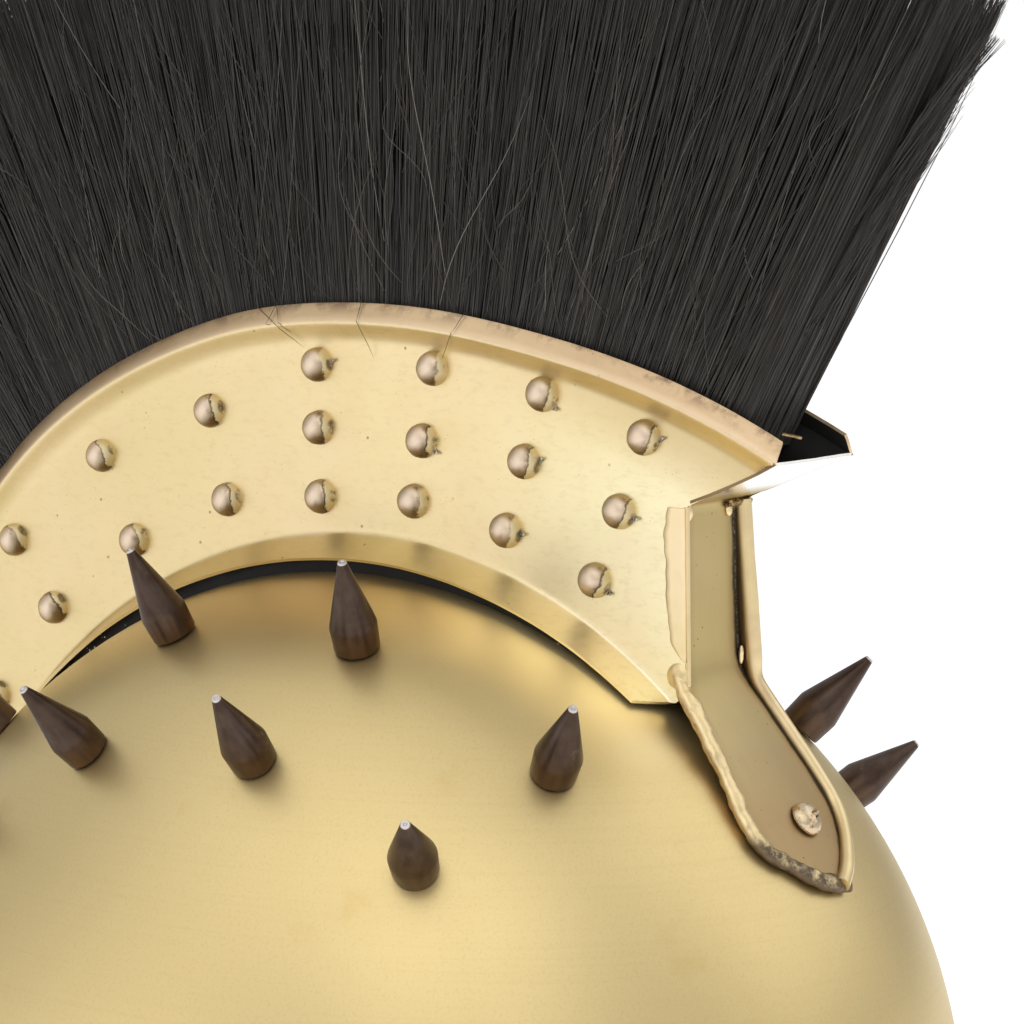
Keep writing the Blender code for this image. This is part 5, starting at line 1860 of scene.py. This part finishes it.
# A few hairs have come loose and lie over the lip: down to its ridge, and on towards the studs
LooseRow = namedtuple("LooseRow", "start_degrees ridge_degrees end_degrees drop shade")
LOOSE_HAIRS = (
    LooseRow(-10.6, -8.6, -6.9, 0.0096, 0.35),
    LooseRow(-8.9, -8.2, -7.1, 0.0078, 0.30),
    LooseRow(-8.7, -9.3, -7.6, 0.0074, 0.30),
    LooseRow(-1.4, -1.2, -0.5, 0.0118, 0.40),
    LooseRow(7.4, 7.1, 5.6, 0.0108, 0.35),
)
lip_top = CREST_FACE + LIP_REACH - LIP_RETURN + STRAY_LIFT
lip_ridge = CREST_FACE + LIP_REACH + STRAY_LIFT
starts, ends, shades = [], [], []
for row in LOOSE_HAIRS:
    start_angle, ridge_angle, end_angle = (radians(angle) for angle in row[:3])
    top_point = crest_point(-lip_top, lip_radius(start_angle) + 0.0006, start_angle)
    ridge_point = crest_point(-lip_ridge, lip_radius(ridge_angle) - LIP_DEPTH * 0.45, ridge_angle)
    end_point = crest_point(-CREST_FACE - STRAY_LIFT, lip_radius(end_angle) - row.drop, end_angle)
    starts += [top_point, ridge_point]
    ends += [ridge_point, end_point]
    shades += [row.shade, row.shade]
count = len(starts)
lay_hairs(
    "loose_hairs_on_lip",
    np.array(starts),
    np.array(ends),
    np.full(count, HAIR_RADIUS * 0.75),
    np.full(count, 0.0002),
    np.array(shades),
    curly_hair,
)

# Floor, light and camera
# A pale studio floor and a white surround. One soft box stands above the camera and one in front of
# the helmet, so that the satin brass shows broad highlights. The camera stands as the photo's did.
FLOOR_RADIUS = 6.0
FLOOR_GLOW = 0.37
LIGHT_TARGET = Vector((0.0, 0.0, 0.12))
CAMERA_TURN = radians(35.16)
CAMERA_RISE = radians(6.28)
CAMERA_ROLL = radians(0.82)
CAMERA_DISTANCE = 0.89915
CAMERA_RIGHT = 0.02193
CAMERA_UP = 0.13242
PIXEL_SIZE = 0.000222
PICTURE_PIXELS = 1024
SENSOR_WIDTH = 36.0

bpy.ops.mesh.primitive_circle_add(vertices=96, radius=FLOOR_RADIUS, fill_type="NGON")
floor = name_piece("studio_floor")
floor_paint = Finish("studio_floor_white", 0.0, 0.6, (0.86, 0.86, 0.86))
floor_paint.surface.inputs["Emission Color"].default_value = (1.0, 1.0, 1.0, 1.0)
floor_paint.surface.inputs["Emission Strength"].default_value = FLOOR_GLOW
floor.data.materials.append(floor_paint.material)

back = Vector(
    (-cos(CAMERA_TURN) * cos(CAMERA_RISE), -sin(CAMERA_TURN) * cos(CAMERA_RISE), sin(CAMERA_RISE))
)
level_right = (-back).cross(Vector((0.0, 0.0, 1.0))).normalized()
level_up = level_right.cross(-back)
camera_right = level_right * cos(CAMERA_ROLL) + level_up * sin(CAMERA_ROLL)
camera_up = level_up * cos(CAMERA_ROLL) - level_right * sin(CAMERA_ROLL)
camera_data = bpy.data.cameras.new("photo_camera")
camera_data.sensor_width = SENSOR_WIDTH
camera_data.lens = CAMERA_DISTANCE / PIXEL_SIZE / PICTURE_PIXELS * SENSOR_WIDTH
camera_data.clip_start = 0.01
camera = bpy.data.objects.new("photo_camera", camera_data)
bpy.context.scene.collection.objects.link(camera)
placed = Matrix((camera_right, camera_up, back)).transposed().to_4x4()
aside = level_right * CAMERA_RIGHT + level_up * CAMERA_UP
placed.translation = BOWL_CENTRE + aside + back * CAMERA_DISTANCE
camera.matrix_world = placed
bpy.context.scene.camera = camera

LightRow = namedtuple("LightRow", "name place size power")
LIGHTS = (
    LightRow("key_box", (-1.5, -1.0, 1.4), 1.8, 6.0),
    LightRow("front_box", (1.0, -1.25, 1.45), 1.9, 6.5),
)
for row in LIGHTS:
    data = bpy.data.lights.new(row.name, "AREA")
    data.energy = row.power
    data.size = row.size
    light = bpy.data.objects.new(row.name, data)
    bpy.context.scene.collection.objects.link(light)
    light.location = row.place
    aim = LIGHT_TARGET - Vector(row.place)
    light.rotation_euler = aim.to_track_quat("-Z", "Y").to_euler()

# Parts of the surround that glow more or less than the rest, by their direction
GlowRow = namedtuple("GlowRow", "x y z spread gain")
GLOW_ROWS = (
    GlowRow(-0.83, 0.55, -0.05, 0.80, 0.35),
    GlowRow(-0.50, 0.10, 0.86, 0.75, 0.45),
    GlowRow(0.92, -0.39, 0.0, 0.70, -0.10),
    GlowRow(0.96, 0.28, 0.0, 0.80, -0.22),
    GlowRow(-0.44, 0.81, 0.39, 0.82, -0.11),
)
surround = bpy.data.worlds.new("white_surround")
surround.use_nodes = True
sky_tree = surround.node_tree
sky = sky_tree.nodes["Background"]
sky.inputs["Color"].default_value = (1.0, 1.0, 1.0, 1.0)
sky_parts = sky_tree.nodes.new("ShaderNodeSeparateXYZ")
sky_place = sky_tree.nodes.new("ShaderNodeTexCoord")
sky_tree.links.new(sky_place.outputs["Generated"], sky_parts.inputs["Vector"])
sky_up = Amount(sky_tree, sky_parts.outputs["Z"])
sky_left = Amount(sky_tree, sky_parts.outputs["X"])
sky_back = Amount(sky_tree, sky_parts.outputs["Y"])
seen = Amount(sky_tree, sky_tree.nodes.new("ShaderNodeLightPath").outputs["Is Camera Ray"])
glow = 0.58 + 0.14 * sky_up.from_to(0.2, 0.9)
glow = glow + 0.30 * sky_left.from_to(-0.25, -0.85) * sky_back.from_to(-0.1, 0.5)
for row in GLOW_ROWS:
    towards = sky_left * row.x + sky_back * row.y + sky_up * row.z
    glow = glow + row.gain * towards.from_to(row.spread, 1.0)
strength = seen + (1.0 - seen) * glow
sky_tree.links.new(strength.socket, sky.inputs["Strength"])
bpy.context.scene.world = surround
bpy.context.scene.view_settings.view_transform = "Standard"
